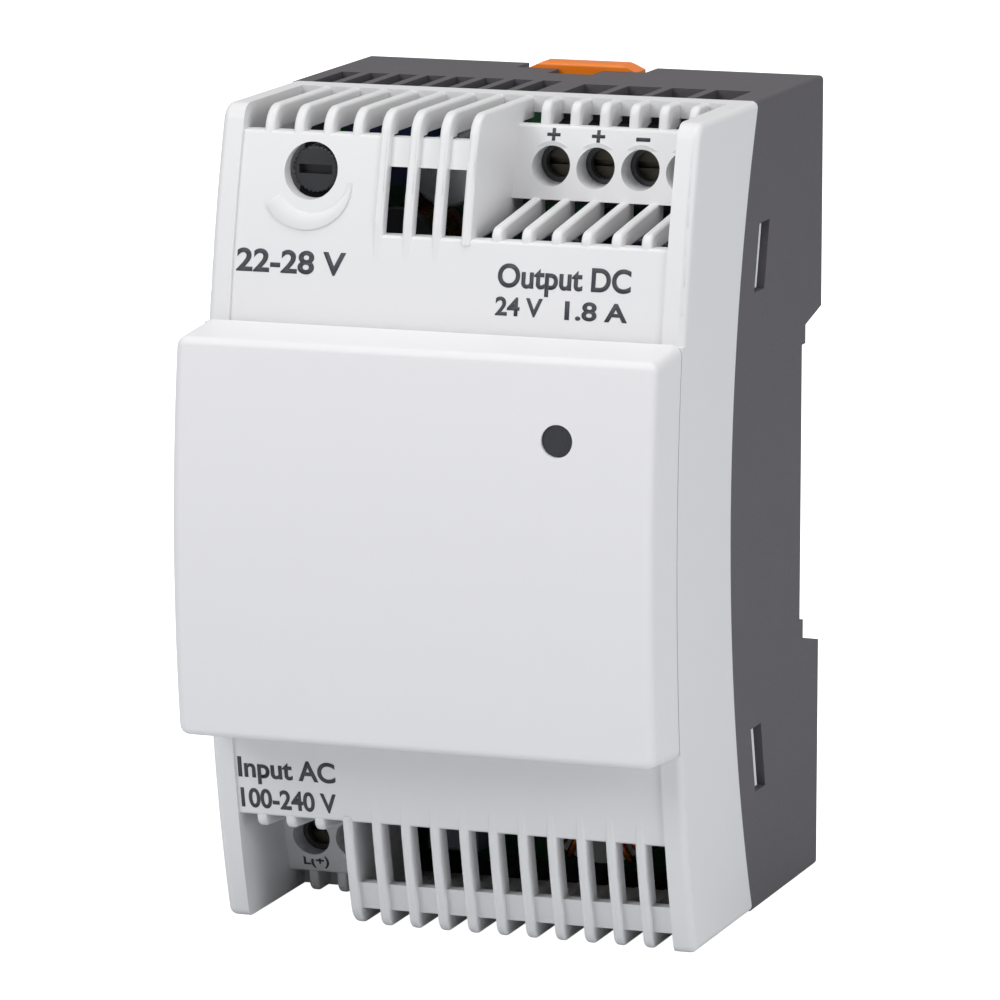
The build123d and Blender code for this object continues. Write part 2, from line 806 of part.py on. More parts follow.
def cover_skirt():
    """The cover's inner lip, inside the front housing's opening."""
    half_x = wing_inner - 0.15
    half_z = opening_half - 0.15
    front = cover_front_middle + cover_wall + 0.3
    back = cover_edge_middle + cover_skirt_depth
    outer = block(-half_x, half_x, front, back, -half_z, half_z)
    wall = cover_skirt_wall
    inner = block(-half_x + wall, half_x - wall, front - 1, back + 1, -half_z + wall, half_z - wall)
    ring = outer - inner
    edge = shoulder_y(opening_half, face_inset) - clearance
    lip = block(-half_x, half_x, cover_edge_middle - 1, edge, opening_half - 0.3, cover_half - 0.15)
    return ring + lip + turned(lip)


# ================================================================ latch
def make_rail_latch():
    half = latch_width / 2
    stem_low = channel_high - latch_hold
    top = half_height - latch_recess_floor + latch_play
    stem = block(-half, half, latch_front, latch_back, channel_high + latch_play, top + latch_grip_height)
    nose = outline(
        (nose_front, channel_high + nose_height),
        (nose_front, stem_low),
        (nose_front + 1.2, stem_low),
        (latch_back, channel_high + 0.9),
        (latch_back, channel_high + nose_height),
    )
    nose_body = slab(nose, -half, half)
    grip_half = latch_grip_width / 2
    grip_back = latch_back + latch_grip_lip
    grip_top = half_height + latch_grip_proud
    grip_outline = Polyline(
        (-grip_half, grip_top - latch_grip_height),
        (-grip_half, grip_top - latch_grip_slope),
        (-latch_grip_flat / 2, grip_top),
        (latch_grip_flat / 2, grip_top),
        (grip_half, grip_top - latch_grip_slope),
        (grip_half, grip_top - latch_grip_height),
        close=True,
    )
    grip = extrude(Plane.XZ.offset(-grip_back) * make_face(grip_outline), latch_grip_depth)
    grip = fillet(grip.faces().sort_by(Axis.Z)[-1].edges().filter_by(Axis.X), 0.4)
    hole_half = spring_radius + spring_wire + latch_play
    hole = block(-hole_half, hole_half, 0, back_reach + 1, spring_low, spring_high + lug_height + latch_travel + 0.4)
    return cut(join(stem, nose_body, grip), hole)


def make_latch_spring():
    """A compression spring between the latch and the housing's lug."""
    free = spring_high - spring_low - 2 * spring_wire / 2 - 0.04
    pitch = (free - spring_wire) / spring_turns
    low = spring_low + spring_wire / 2 + 0.02
    path = Helix(pitch, pitch * spring_turns, spring_radius)
    start = path @ 0
    section = Plane(origin=start, z_dir=path % 0) * Circle(spring_wire / 2)
    coil = sweep(section, path=path, is_frenet=True)
    return Pos(0, (latch_front + latch_back) / 2, low + 0.2) * coil


# ================================================================ terminals
def terminal_cell(x):
    """The space for one clamp in the terminal block, at the top."""
    half = terminal_pitch / 2 - cell_wall
    cavity = block(x - half, x + half, block_front + 1.0, cell_back, cell_low, cell_high)
    driver = rod(x, screw_height, screw_head / 2 - 0.3, block_front - 1, block_front + 2)
    entry = block(x - wire_entry / 2, x + wire_entry / 2, wire_front, wire_back, cell_high - 1, block_top + 1)
    leg = block(x - contact_leg / 2 - 0.1, x + contact_leg / 2 + 0.1, cell_back - 1, board_front + 1,
                contact_low - 0.1, contact_low + contact_thick + 0.1)
    return [cavity, driver, entry, leg]


def make_terminal_block(first, poles):
    low = first - terminal_pitch / 2
    high = low + terminal_pitch * poles
    front = block(low, high, block_front, block_step, block_low, block_step_top)
    body = front + block(low, high, block_step, board_front, block_low, block_top)
    for pole in range(poles):
        body = cut(body, terminal_cell(first + terminal_pitch * pole))
    return body


def make_terminal_contacts(first, poles):
    """Each pole's contact strip with its leg through the board."""
    strips = []
    for pole in range(poles):
        x = first + terminal_pitch * pole
        strip = block(x - contact_width / 2, x + contact_width / 2, contact_y, contact_y + contact_thick,
                      contact_low, cage_high)
        leg = block(x - contact_leg / 2, x + contact_leg / 2, contact_y, board_back + lead_reach,
                    contact_low, contact_low + contact_thick)
        strips.append(strip + leg)
    return Compound(strips)


def make_terminal_screw(x):
    head = rod(x, screw_height, screw_head / 2, screw_top, screw_top + screw_head_height)
    head = chamfer(head.edges().filter_by(GeomType.CIRCLE).sort_by(Axis.Y)[0], 0.25)
    shank = rod(x, screw_height, screw_shank / 2, screw_top + 1, contact_y - 0.05)
    slot = block(x - 3, x + 3, screw_top - 1, screw_top + 1.0, screw_height - 0.35, screw_height + 0.35)
    return (head + shank) - slot


def make_terminal_clamp(x):
    """The box clamp that rises on the screw and traps the wire on the contact."""
    half = cage_width / 2
    outer = block(x - half, x + half, cage_front, cage_back, cage_low, cage_high)
    inner_front = cage_front + cage_wall
    inner_back = cage_back - cage_wall
    hollow = block(x - half + cage_side, x + half - cage_side, inner_front, inner_back, cage_low - 1, cage_high + 1)
    thread = rod(x, screw_height, screw_shank / 2 + screw_fit, cage_front - 1, inner_front + 1)
    return cut(outer, hollow, thread)


# ================================================================ circuit board and what stands on it
def make_circuit_board():
    half_x = rear_inner - board_gap
    half_z = rear_inner_z - board_edge_gap
    board = block(-half_x, half_x, board_front, board_back, -half_z, half_z)
    for x in (-board_screw_x, board_screw_x):
        for z in (-board_screw_z, board_screw_z):
            board = board - rod(x, z, board_screw_radius + 0.15, board_front - 1, board_back + 1)
    for first, poles, flip in ((output_first, output_poles, False), (input_first, input_poles, True)):
        for pole in range(poles):
            x = first + terminal_pitch * pole
            hole = block(x - contact_leg / 2 - 0.1, x + contact_leg / 2 + 0.1, board_front - 1, board_back + 1,
                         contact_low - 0.1, contact_low + contact_thick + 0.1)
            board = board - (turned(hole) if flip else hole)
    return cut(board, leads_hole(lead_points()))


def make_board_screws():
    screws = []
    for x in (-board_screw_x, board_screw_x):
        for z in (-board_screw_z, board_screw_z):
            head = rod(x, z, board_screw_radius + 1.1, board_front - 1.6, board_front)
            shank = rod(x, z, board_screw_radius - 0.35, board_front - 1, board_back + board_screw_length - 0.5)
            slot = block(x - 3, x + 3, board_front - 2, board_front - 0.9, z - 0.3, z + 0.3)
            screws.append((head + shank) - slot)
    return Compound(screws)


def can(x, z, diameter, height):
    """A round component standing on the board."""
    body = rod(x, z, diameter / 2, board_front - height, board_front)
    top = body.edges().filter_by(GeomType.CIRCLE).sort_by(Axis.Y)[0]
    return fillet(top, 0.5)


def box_part(x, z, size_x, size_z, height):
    """A block-shaped component standing on the board."""
    body = block(x - size_x / 2, x + size_x / 2, board_front - height, board_front, z - size_z / 2, z + size_z / 2)
    return fillet(body.faces().sort_by(Axis.Y)[0].edges(), 0.4)


def two_leads(x, z, spacing, along="x"):
    half = spacing / 2
    if along == "x":
        return [(x - half, z), (x + half, z)]
    return [(x, z - half), (x, z + half)]


def lead_points():
    """Every lead hole in the board, from the same places as the components."""
    points = two_leads(*bulk_place, 7.5) + two_leads(*coupling_place, 5.0, "z")
    points += two_leads(*x_cap_place, 15.0 * 0.7, "z") + two_leads(*filter_cap_place, 7.0, "z")
    points += two_leads(*varistor_place, 5.0, "z") + two_leads(*fuse_place, 5.0)
    points += two_leads(*led_place, 2.54) + bridge_leads() + transformer_leads() + choke_leads()
    points += [point for place in output_caps for point in two_leads(*place, 3.5)]
    points += two_leads(*inductor_place, 6.0) + two_leads(*small_cap_place, 3.5)
    points += power_leads(switch_place) + power_leads(rectifier_place) + trimmer_leads()
    return points


def make_bulk_capacitor():
    return join(can(*bulk_place, bulk_diameter, bulk_height), leads(two_leads(*bulk_place, 7.5)))


def make_output_capacitors():
    cans = []
    for place in output_caps:
        cans.append(join(can(*place, output_cap_diameter, output_cap_height), leads(two_leads(*place, 3.5))))
    return Compound(cans)


def make_window_capacitor():
    return join(can(*small_cap_place, 8.0, 16.0), leads(two_leads(*small_cap_place, 3.5)))


def make_suppression_capacitor():
    return join(box_part(*x_cap_place, 6.0, 15.0, 12.5), leads(two_leads(*x_cap_place, 10.5, "z")))


def make_filter_capacitor():
    return join(box_part(*filter_cap_place, 5.0, 11.0, 11.0), leads(two_leads(*filter_cap_place, 7.0, "z")))


def disc_part(place, diameter, thickness, spacing):
    """A coated disc on edge, facing sideways, on two leads."""
    x, z = place
    centre = board_front - diameter / 2 - 1.2
    disc = Pos(x, centre, z) * Rot(0, 90, 0) * Cylinder(diameter / 2, thickness)
    disc = fillet(disc.edges().filter_by(GeomType.CIRCLE), thickness * 0.35)
    return join(disc, leads(two_leads(x, z, spacing, "z"), centre))


def make_varistor():
    return disc_part(varistor_place, 9.0, 3.4, 5.0)


def make_coupling_capacitor():
    return disc_part(coupling_place, 8.5, 3.0, 5.0)


def make_fuse():
    return join(can(*fuse_place, 8.5, 8.0), leads(two_leads(*fuse_place, 5.0)))


def bridge_leads():
    x, z = bridge_place
    return [(x + 3.6 * (index - 1.5), z) for index in range(4)]


def make_bridge_rectifier():
    return join(box_part(*bridge_place, 14.6, 3.6, 11.0), leads(bridge_leads()))


def transformer_leads():
    x, z = transformer_place
    points = []
    for side in (-1, 1):
        for index in range(4):
            points.append((x + 5.0 * (index - 1.5), z + side * transformer_pin_row))
    return points


def make_transformer_bobbin():
    """Winding former with its two pin rails."""
    x, z = transformer_place
    size = transformer_size
    rail_z = transformer_pin_row
    shapes = []
    for side in (-1, 1):
        low, high = sorted((z + side * (rail_z - 1.6), z + side * (rail_z + 1.6)))
        shapes.append(block(x - size / 2, x + size / 2, board_front - 4, board_front, low, high))
        flange = z + side * winding_length / 2
        low, high = sorted((flange, flange + side * 1.0))
        shapes.append(block(x - size / 2 + core_leg + 0.3, x + size / 2 - core_leg - 0.3,
                            core_front + core_leg + 0.2, board_front - 3.5, low, high))
        low, high = sorted((flange, z + side * rail_z))
        shapes.append(block(x - 4.5, x + 4.5, board_front - 4, board_front - 1, low, high))
    axis_y = (core_front + core_back) / 2
    tube = Pos(x, axis_y, z) * Cylinder(core_centre + 0.9, winding_length + 2)
    bore = Pos(x, axis_y, z) * Cylinder(core_centre + 0.1, winding_length + 40)
    return cut(join(shapes, tube), bore)


def make_transformer_core():
    """Two E halves round the former, with a round middle leg along Z."""
    x, z = transformer_place
    size = transformer_size
    half_z = winding_length / 2 + 1.2
    outer = block(x - size / 2, x + size / 2, core_front, core_back, z - half_z - core_leg, z + half_z + core_leg)
    inner = block(x - size / 2 + core_leg, x + size / 2 - core_leg, core_front - 1, core_back + 1,
                  z - half_z, z + half_z)
    middle = Pos(x, (core_front + core_back) / 2, z) * Cylinder(core_centre, 2 * half_z + 1)
    return outer - inner + middle


def make_transformer_winding():
    x, z = transformer_place
    axis_y = (core_front + core_back) / 2
    outer = Pos(x, axis_y, z) * Cylinder(winding_radius, winding_length - 0.1)
    bore = Pos(x, axis_y, z) * Cylinder(core_centre + 0.95, winding_length + 10)
    return outer - bore


def choke_leads():
    x, z = choke_place
    return [(x - 5, z - 5), (x + 5, z - 5), (x - 5, z + 5), (x + 5, z + 5)]


def choke_ring(outer, inner, depth):
    x, z = choke_place
    middle = board_front - choke_base - choke_depth / 2
    ring = rod(x, z, outer, middle - depth / 2, middle + depth / 2)
    return ring - rod(x, z, inner, middle - depth, middle + depth)


def make_choke_core():
    return choke_ring(choke_outer - choke_wire, choke_inner + choke_wire, choke_depth - 2 * choke_wire)


def make_choke_windings():
    """Two windings, one on each side of the ring."""
    x, z = choke_place
    shell = choke_ring(choke_outer, choke_inner, choke_depth) - make_choke_core()
    gap = block(x - choke_gap / 2, x + choke_gap / 2, -front_reach, 0, z - 20, z + 20)
    ends = []
    middle = board_front - choke_base - choke_depth / 2
    for px, pz in choke_leads():
        ends.append(rod(px, pz, lead_radius, middle + choke_depth / 2 - 0.3, board_back + lead_reach))
    return join(shell - gap, ends)


def make_choke_base():
    """The plastic foot under the ring."""
    x, z = choke_place
    foot = rod(x, z, choke_outer - 0.4, board_front - choke_base, board_front)
    for px, pz in choke_leads():
        foot = foot - rod(px, pz, lead_radius + clearance, board_front - 20, board_front + 1)
    return foot


def power_leads(place):
    x, z = place
    return [(x, z + 2.54 * (index - 1)) for index in range(3)]


def make_power_device(place, side):
    """A TO-220 device standing beside its heatsink."""
    x, z = place
    body = block(x - 1.6, x + 1.6, board_front - 13, board_front - 4, z - 5, z + 5)
    low, high = sorted((x + side * 1.6, x + side * 2.9))
    tab = block(low, high, board_front - 19, board_front - 4, z - 5, z + 5)
    tab = tab - (Pos(x + side * 2.2, board_front - 16, z) * Rot(0, 90, 0) * Cylinder(1.8, 10))
    return join(body, tab, leads(power_leads(place), board_front - 5))


def make_heatsink(place, side, z_low, z_high):
    """A bent aluminium plate beside the housing's wall."""
    x = place[0] + side * 2.95
    low, high = sorted((x, x + side * 1.5))
    sheet = block(low, high, board_front - heatsink_height, board_front - 0.1, z_low, z_high)
    fin_low, fin_high = sorted((x + side * 1.5, x - side * 4.5))
    fin = block(fin_low, fin_high, board_front - heatsink_height, board_front - heatsink_height + 1.5, z_low, z_high)
    return sheet + fin


def make_inductor_core():
    x, z = inductor_place
    foot = rod(x, z, 5.0, board_front - 1.6, board_front)
    stem = rod(x, z, 2.4, board_front - 10.4, board_front - 1.6)
    head = rod(x, z, 5.0, board_front - 12.0, board_front - 10.4)
    holes = [rod(px, pz, lead_radius + clearance, board_front - 4, board_front + 1)
             for px, pz in two_leads(*inductor_place, 6.0)]
    return cut(join(foot, stem, head), holes)


def make_inductor_winding():
    x, z = inductor_place
    coil = rod(x, z, 4.4, board_front - 10.35, board_front - 1.65) - rod(x, z, 2.45, board_front - 11, board_front)
    return join(coil, leads(two_leads(*inductor_place, 6.0), board_front - 1.8))


def make_optocoupler():
    x, z = coupler_place
    body = block(x - 2.3, x + 2.3, board_front - 3.6, board_front - 0.3, z - 3.2, z + 3.2)
    feet = []
    for side in (-1, 1):
        for dz in (-1.27, 1.27):
            low, high = sorted((x + side * 2.2, x + side * 3.4))
            feet.append(block(low, high, board_front - 1.5, board_front, z + dz - 0.3, z + dz + 0.3))
    return join(body, feet)


def make_controller_chip():
    """Eight-lead controller on the back of the board."""
    x, z = chip_place
    body = block(x - 2, x + 2, board_back + 0.2, board_back + 1.6, z - 2.5, z + 2.5)
    feet = []
    for side in (-1, 1):
        for index in range(4):
            dz = 1.27 * (index - 1.5)
            low, high = sorted((x + side * 1.9, x + side * 3.0))
            feet.append(block(low, high, board_back, board_back + 0.7, z + dz - 0.2, z + dz + 0.2))
    return join(body, feet)


# ================================================================ indicator and adjuster
def make_status_led():
    x, z = led_place
    body = rod(x, z, led_radius, board_front - led_height, board_front)
    body = fillet(body.edges().filter_by(GeomType.CIRCLE).sort_by(Axis.Y)[0], led_radius * 0.8)
    rim = rod(x, z, led_radius + 0.3, board_front - 1, board_front)
    return join(body, rim, leads(two_leads(x, z, 2.54)))


def make_light_pipe():
    """Carries the LED's light to the cover's front."""
    x, z = led_place
    back = board_front - led_height - 0.4
    front_y = arc_y(cover_front_middle, cover_rise, cover_half - cover_taper, z) + indicator_recess
    pipe = rod(x, z, indicator_radius - 0.05, front_y, back)
    collar = rod(x, z, indicator_radius + 0.7, front_y + cover_wall + 0.6, front_y + cover_wall + 1.8)
    return pipe + collar


def trimmer_leads():
    return [(adjuster_x - 2.54, adjuster_z - 2.5), (adjuster_x + 2.54, adjuster_z - 2.5),
            (adjuster_x, adjuster_z + 2.5)]


def make_trimmer_body():
    half = adjuster_body / 2
    body = block(adjuster_x - half, adjuster_x + half, board_front - adjuster_body_depth, board_front,
                 adjuster_z - half, adjuster_z + half)
    socket = rod(adjuster_x, adjuster_z, adjuster_shaft / 2 + 0.05, board_front - adjuster_body_depth - 1,
                 board_front - 1.5)
    return join(body - socket, leads(trimmer_leads()))


def make_trimmer_spindle():
    """The turned adjuster: slotted head, long shaft, in the trimmer's socket."""
    face_y = shoulder_y(adjuster_z, face_inset) + adjuster_sunk
    head = rod(adjuster_x, adjuster_z, adjuster_head / 2, face_y, face_y + 3.0)
    head = chamfer(head.edges().filter_by(GeomType.CIRCLE).sort_by(Axis.Y)[0], 0.3)
    shaft = rod(adjuster_x, adjuster_z, adjuster_shaft / 2, face_y + 2, board_front - 1.6)
    slot = block(adjuster_x - 1.9, adjuster_x + 1.9, face_y - 1, face_y + 1.2, adjuster_z - 0.4, adjuster_z + 0.4)
    return (head + shaft) - slot


# ================================================================ the assembly
def main():
    os.makedirs("parts", exist_ok=True)
    save("rear_housing", make_rear_housing())
    save("front_housing", make_front_housing())
    save("front_cover", make_front_cover())
    save("rail_latch", make_rail_latch())
    save("latch_spring", make_latch_spring())
    save("output_terminal_block", make_terminal_block(output_first, output_poles))
    save("output_contacts", make_terminal_contacts(output_first, output_poles))
    save("input_terminal_block", turned(make_terminal_block(input_first, input_poles)))
    save("input_contacts", turned(make_terminal_contacts(input_first, input_poles)))
    for pole in range(output_poles):
        x = output_first + terminal_pitch * pole
        save(f"output_screw_{pole + 1}", make_terminal_screw(x))
        save(f"output_clamp_{pole + 1}", make_terminal_clamp(x))
    for pole in range(input_poles):
        x = input_first + terminal_pitch * (input_poles - 1 - pole)
        save(f"input_screw_{pole + 1}", turned(make_terminal_screw(x)))
        save(f"input_clamp_{pole + 1}", turned(make_terminal_clamp(x)))
    save("circuit_board", make_circuit_board())
    save("board_screws", make_board_screws())
    save("mains_fuse", make_fuse())
    save("varistor", make_varistor())
    save("suppression_capacitor", make_suppression_capacitor())
    save("filter_capacitor", make_filter_capacitor())
    save("choke_core", make_choke_core())
    save("choke_windings", make_choke_windings())
    save("choke_base", make_choke_base())
    save("bridge_rectifier", make_bridge_rectifier())
    save("bulk_capacitor", make_bulk_capacitor())
    save("switching_transistor", make_power_device(switch_place, 1))
    save("transistor_heatsink", make_heatsink(switch_place, 1, *switch_sink))
    save("transformer_bobbin", make_transformer_bobbin())
    save("transformer_core", make_transformer_core())
    save("transformer_winding", make_transformer_winding())
    save("coupling_capacitor", make_coupling_capacitor())
    save("output_rectifier", make_power_device(rectifier_place, -1))
    save("rectifier_heatsink", make_heatsink(rectifier_place, -1, *rectifier_sink))
    save("inductor_core", make_inductor_core())
    save("inductor_winding", make_inductor_winding())
    save("output_capacitors", make_output_capacitors())
    save("window_capacitor", make_window_capacitor())
    save("optocoupler", make_optocoupler())
    save("controller_chip", make_controller_chip())
    save("status_led", make_status_led())
    save("light_pipe", make_light_pipe())
    save("trimmer_body", make_trimmer_body())
    save("trimmer_spindle", make_trimmer_spindle())


main()
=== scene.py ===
"""Looks of a DIN rail power supply, three modules wide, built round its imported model.

Lengths are in millimetres while a piece is modelled, and become metres when it is finished.
+X is to the right, +Y back towards the rail, +Z up; the origin is the middle of the rail seat.
"""
import json
import math
from types import SimpleNamespace

import bmesh
import bpy
from bpy.props import FloatProperty, FloatVectorProperty, PointerProperty, StringProperty
from mathutils import Matrix, Vector


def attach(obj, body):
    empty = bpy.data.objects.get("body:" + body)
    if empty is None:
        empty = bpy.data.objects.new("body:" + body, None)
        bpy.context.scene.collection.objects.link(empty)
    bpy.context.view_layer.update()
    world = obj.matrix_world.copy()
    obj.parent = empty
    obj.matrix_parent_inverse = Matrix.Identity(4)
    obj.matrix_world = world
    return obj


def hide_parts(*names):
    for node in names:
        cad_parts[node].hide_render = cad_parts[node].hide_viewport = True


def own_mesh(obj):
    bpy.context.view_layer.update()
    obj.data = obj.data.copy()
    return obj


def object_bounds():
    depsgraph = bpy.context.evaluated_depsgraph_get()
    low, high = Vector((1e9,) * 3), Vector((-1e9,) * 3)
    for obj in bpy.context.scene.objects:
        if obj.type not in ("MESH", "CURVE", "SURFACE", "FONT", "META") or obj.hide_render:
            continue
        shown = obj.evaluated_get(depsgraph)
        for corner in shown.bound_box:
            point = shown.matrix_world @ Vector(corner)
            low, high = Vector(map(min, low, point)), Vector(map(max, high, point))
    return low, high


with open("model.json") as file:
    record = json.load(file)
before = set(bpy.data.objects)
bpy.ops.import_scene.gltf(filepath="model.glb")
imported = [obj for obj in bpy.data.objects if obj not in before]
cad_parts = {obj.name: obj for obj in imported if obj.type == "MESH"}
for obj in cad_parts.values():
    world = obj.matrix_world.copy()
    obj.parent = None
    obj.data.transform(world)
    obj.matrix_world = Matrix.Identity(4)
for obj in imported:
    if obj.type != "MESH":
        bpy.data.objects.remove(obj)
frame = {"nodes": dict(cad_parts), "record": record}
cad_low, cad_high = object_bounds()

bl_info = {
    "name": "DIN rail power supply",
    "version": (1, 0, 0),
    "blender": (4, 5, 0),
    "location": "View3D > Sidebar > Power Supply",
    "description": "Models and finishes the pieces of a modular power supply",
    "category": "Add Mesh",
}

MM = 0.001
TURN = 2 * math.pi
NEAR = 0.01                 # mm within which a point counts as lying on a plane
SENSOR_WIDTH = 36.0         # mm
CLIP_END = 20.0             # m, past the far edge of the floor
SURROUNDINGS = 0.35         # strength of the even light from all round
LIGHT_AIM = (0, -0.02, 0)   # m
# Soft boxes: name, place in m, width and height in m, and power in W
SOFT_BOXES = (
    ("key soft box", (-0.55, -0.95, 0.75), (0.7, 0.7), 6.6),
    ("top soft box", (0.1, -0.1, 1.1), (0.7, 0.9), 5.4),
    ("side soft box", (1.0, -0.45, 0.3), (0.4, 0.8), 3.6),
)
CLOUD_SIZE = 9.0            # mm across the soft patches in a plastic's colour
PLASTIC_ROUGHNESS_SPREAD = 0.06
METAL_SHADES = (0.86, 1.08)             # factors for the dark and the light of a metal's grain
METAL_ROUGHNESS_SPREAD = (0.08, 0.1)    # below and above the middle roughness
LETTER_WEIGHT = 0.026       # thickens the lettering's strokes, per unit of its size
INK_LIFT = 0.25             # share of the ink's thickness that its back stands off the plastic

# Lettering on the shoulders: text, left, right, low and high, in mm
SHOULDER_TEXT = (
    ("22-28 V", -24.1, -11.6, 27.4, 29.9),
    ("Output DC", 5.7, 20.6, 26.4, 29.7),
    ("24 V", 5.6, 10.9, 24.2, 26.2),
    ("1.8 A", 13.4, 20.4, 24.1, 26.1),
    ("Input AC", -24.2, -12.9, -29.1, -26.0),
    ("100-240 V", -24.1, -13.0, -31.9, -29.6),
)
# Lettering on the terminal recesses' back faces: text, middle, half width, low and high, in mm
RECESS_TEXT = (
    ("+", 6.5, 0.75, 40.85, 42.2), ("+", 11.58, 0.75, 40.85, 42.2),
    ("-", 16.66, 0.8, 41.2, 41.6), ("-", 21.74, 0.8, 41.2, 41.6),
    ("L(+)", -21.2, 1.5, -42.0, -40.5), ("N(-)", -16.1, 1.5, -42.0, -40.5),
)
RECESS_LINE = ((34.7, -28.8), (42.45, -26.4))   # height and depth of the back face's two edges
CHOKE_PLACE = (9.5, -16.2, -33.3)
CHOKE_TURNS = 11                                # turns in each of the two windings
CHOKE_SPREAD = math.radians(62)                 # each winding's half spread round the ring
WIRE_HALF = (2.02, 3.25)                        # half sizes of a turn, across and along the ring's axis
WIRE_SQUARE = 5                                 # how square a turn's corners are
WIRE_STEPS = 24                                 # steps in one turn of the choke's wire
WIRE_SIDES = 8
SPRING_PLACE = (0.0, 3.85, 24.42)               # on the spring's axis, at its lowest turn
SPRING_PITCH = 1.24
SPRING_TURNS = 9
SPRING_STEPS = 20                               # steps in one turn of the spring
SPRING_SIDES = 10
ADJUSTER_X = -16.35
CRESCENT_RADII = ((6.0, 1.6, -2.7), (4.2, 0.6, 0.0))    # outer and inner radius: start, slope and curve
CRESCENT_START = math.radians(217)
CRESCENT_END = math.radians(348)
CRESCENT_STEPS = 36
CRESCENT_ROOT = 0.05                            # how deep the crescent starts in the plate
CRESCENT_EDGE = 0.1                             # softening of its front edge
RIM_BEND = 1.0                                  # radians over which an edge counts as a rim
FRONT_FACING = -0.9                             # a normal's Y on a face that looks to the front
SERRATIONS = 30
SERRATION_POINTS = 4                            # points on the rim for each serration
VALLEY_REACH = 0.95                             # a serration's valley, as a share of the head's radius
HEAD_DEPTH = 3.0
HEAD_EDGE = 0.22                                # softening of the head's front rim
SLOT_HALF = (1.9, 0.5)                          # half length and half width of the driver slot
SLOT_DEPTH = 1.2
SHAFT_RADIUS = 1.5
SHAFT_SIDES = 32
SHAFT_END = -12.6                               # Y of the shaft's end, in the trimmer's socket


# ---------------------------------------------------------------- properties
def length(name, description, default):
    """A size that a user may change, in millimetres here and metres in the panel."""
    return FloatProperty(name=name, description=description, default=default * MM, unit="LENGTH")


def hex_text(name, description, default):
    """A colour that a user may change, as an sRGB hex value."""
    return StringProperty(name=name, description=description, default=default)


class SupplySizes(bpy.types.PropertyGroup):
    camera_distance: length("Camera distance", "From the camera to the point it looks at", 783.0)
    floor_size: length("Floor size", "Side of the pale floor", 6000.0)
    half_height: length("Half height", "Middle of the housing to its top", 45.0)
    face_middle: length("Face middle", "Rail seat to the front of the shoulder's arc", 45.7)
    face_rise: length("Face rise", "How far the shoulder's arc falls back at the top", 6.9)
    face_inset: length("Face inset", "Shoulder plates below the side walls' edge", 0.3)
    ink_depth: length("Ink depth", "Thickness of the printed markings", 0.02)
    crescent_height: length("Crescent height", "Turning mark above the shoulder plate", 0.25)
    adjuster_drop: length("Adjuster drop", "Housing's top down to the adjuster", 6.7)
    adjuster_face: length("Adjuster face", "Front face of the adjuster's head", 1.4)
    adjuster_radius: length("Adjuster radius", "Outside of the adjuster's serrated head", 2.6)
    choke_radius: length("Choke radius", "Ring axis to the middle of its section", 5.85)
    choke_wire: length("Choke wire", "Thickness of the choke's enamelled wire", 0.86)
    spring_radius: length("Spring radius", "Spring axis to the middle of its wire", 1.05)
    spring_wire: length("Spring wire", "Thickness of the spring's wire", 0.4)


class SupplyColours(bpy.types.PropertyGroup):
    housing: hex_text("Housing", "White front housing", "#E4E4E5")
    cover: hex_text("Cover", "White raised cover", "#E8E7E9")
    base: hex_text("Base", "Anthracite rear housing", "#545155")
    latch: hex_text("Latch", "Orange rail latch", "#F47F05")
    ink: hex_text("Ink", "Printed markings", "#3C3E45")


def millimetres(group):
    """The sizes of a property group as plain millimetre values."""
    names = group.__annotations__
    return SimpleNamespace(**{name: getattr(group, name) / MM for name in names})


# ---------------------------------------------------------------- materials
def linear(hex_value):
    """sRGB hex to linear RGBA."""
    channels = [int(hex_value[start:start + 2], 16) / 255 for start in (1, 3, 5)]
    return tuple(c / 12.92 if c <= 0.04045 else ((c + 0.055) / 1.055) ** 2.4 for c in channels) + (1.0,)


def add(tree, kind, inputs=None, **settings):
    """Add a shader node, set its settings, and set or link its inputs."""
    node = tree.nodes.new("ShaderNode" + kind)
    for name, value in settings.items():
        setattr(node, name, value)
    for name, value in (inputs or {}).items():
        if isinstance(value, bpy.types.NodeSocket):
            tree.links.new(value, node.inputs[name])
        else:
            node.inputs[name].default_value = value
    return node


def new_material(name):
    """A material with an empty node tree, and the tree."""
    material = bpy.data.materials.new(name)
    material.use_nodes = True
    material.node_tree.nodes.clear()
    return material, material.node_tree


def close(tree, shader):
    """Link a shader to the material's output."""
    add(tree, "OutputMaterial", {"Surface": shader.outputs["BSDF"]})


def shade(hex_value, factor):
    """A colour made lighter or darker in linear light."""
    red, green, blue, alpha = linear(hex_value)
    return (min(1, red * factor), min(1, green * factor), min(1, blue * factor), alpha)


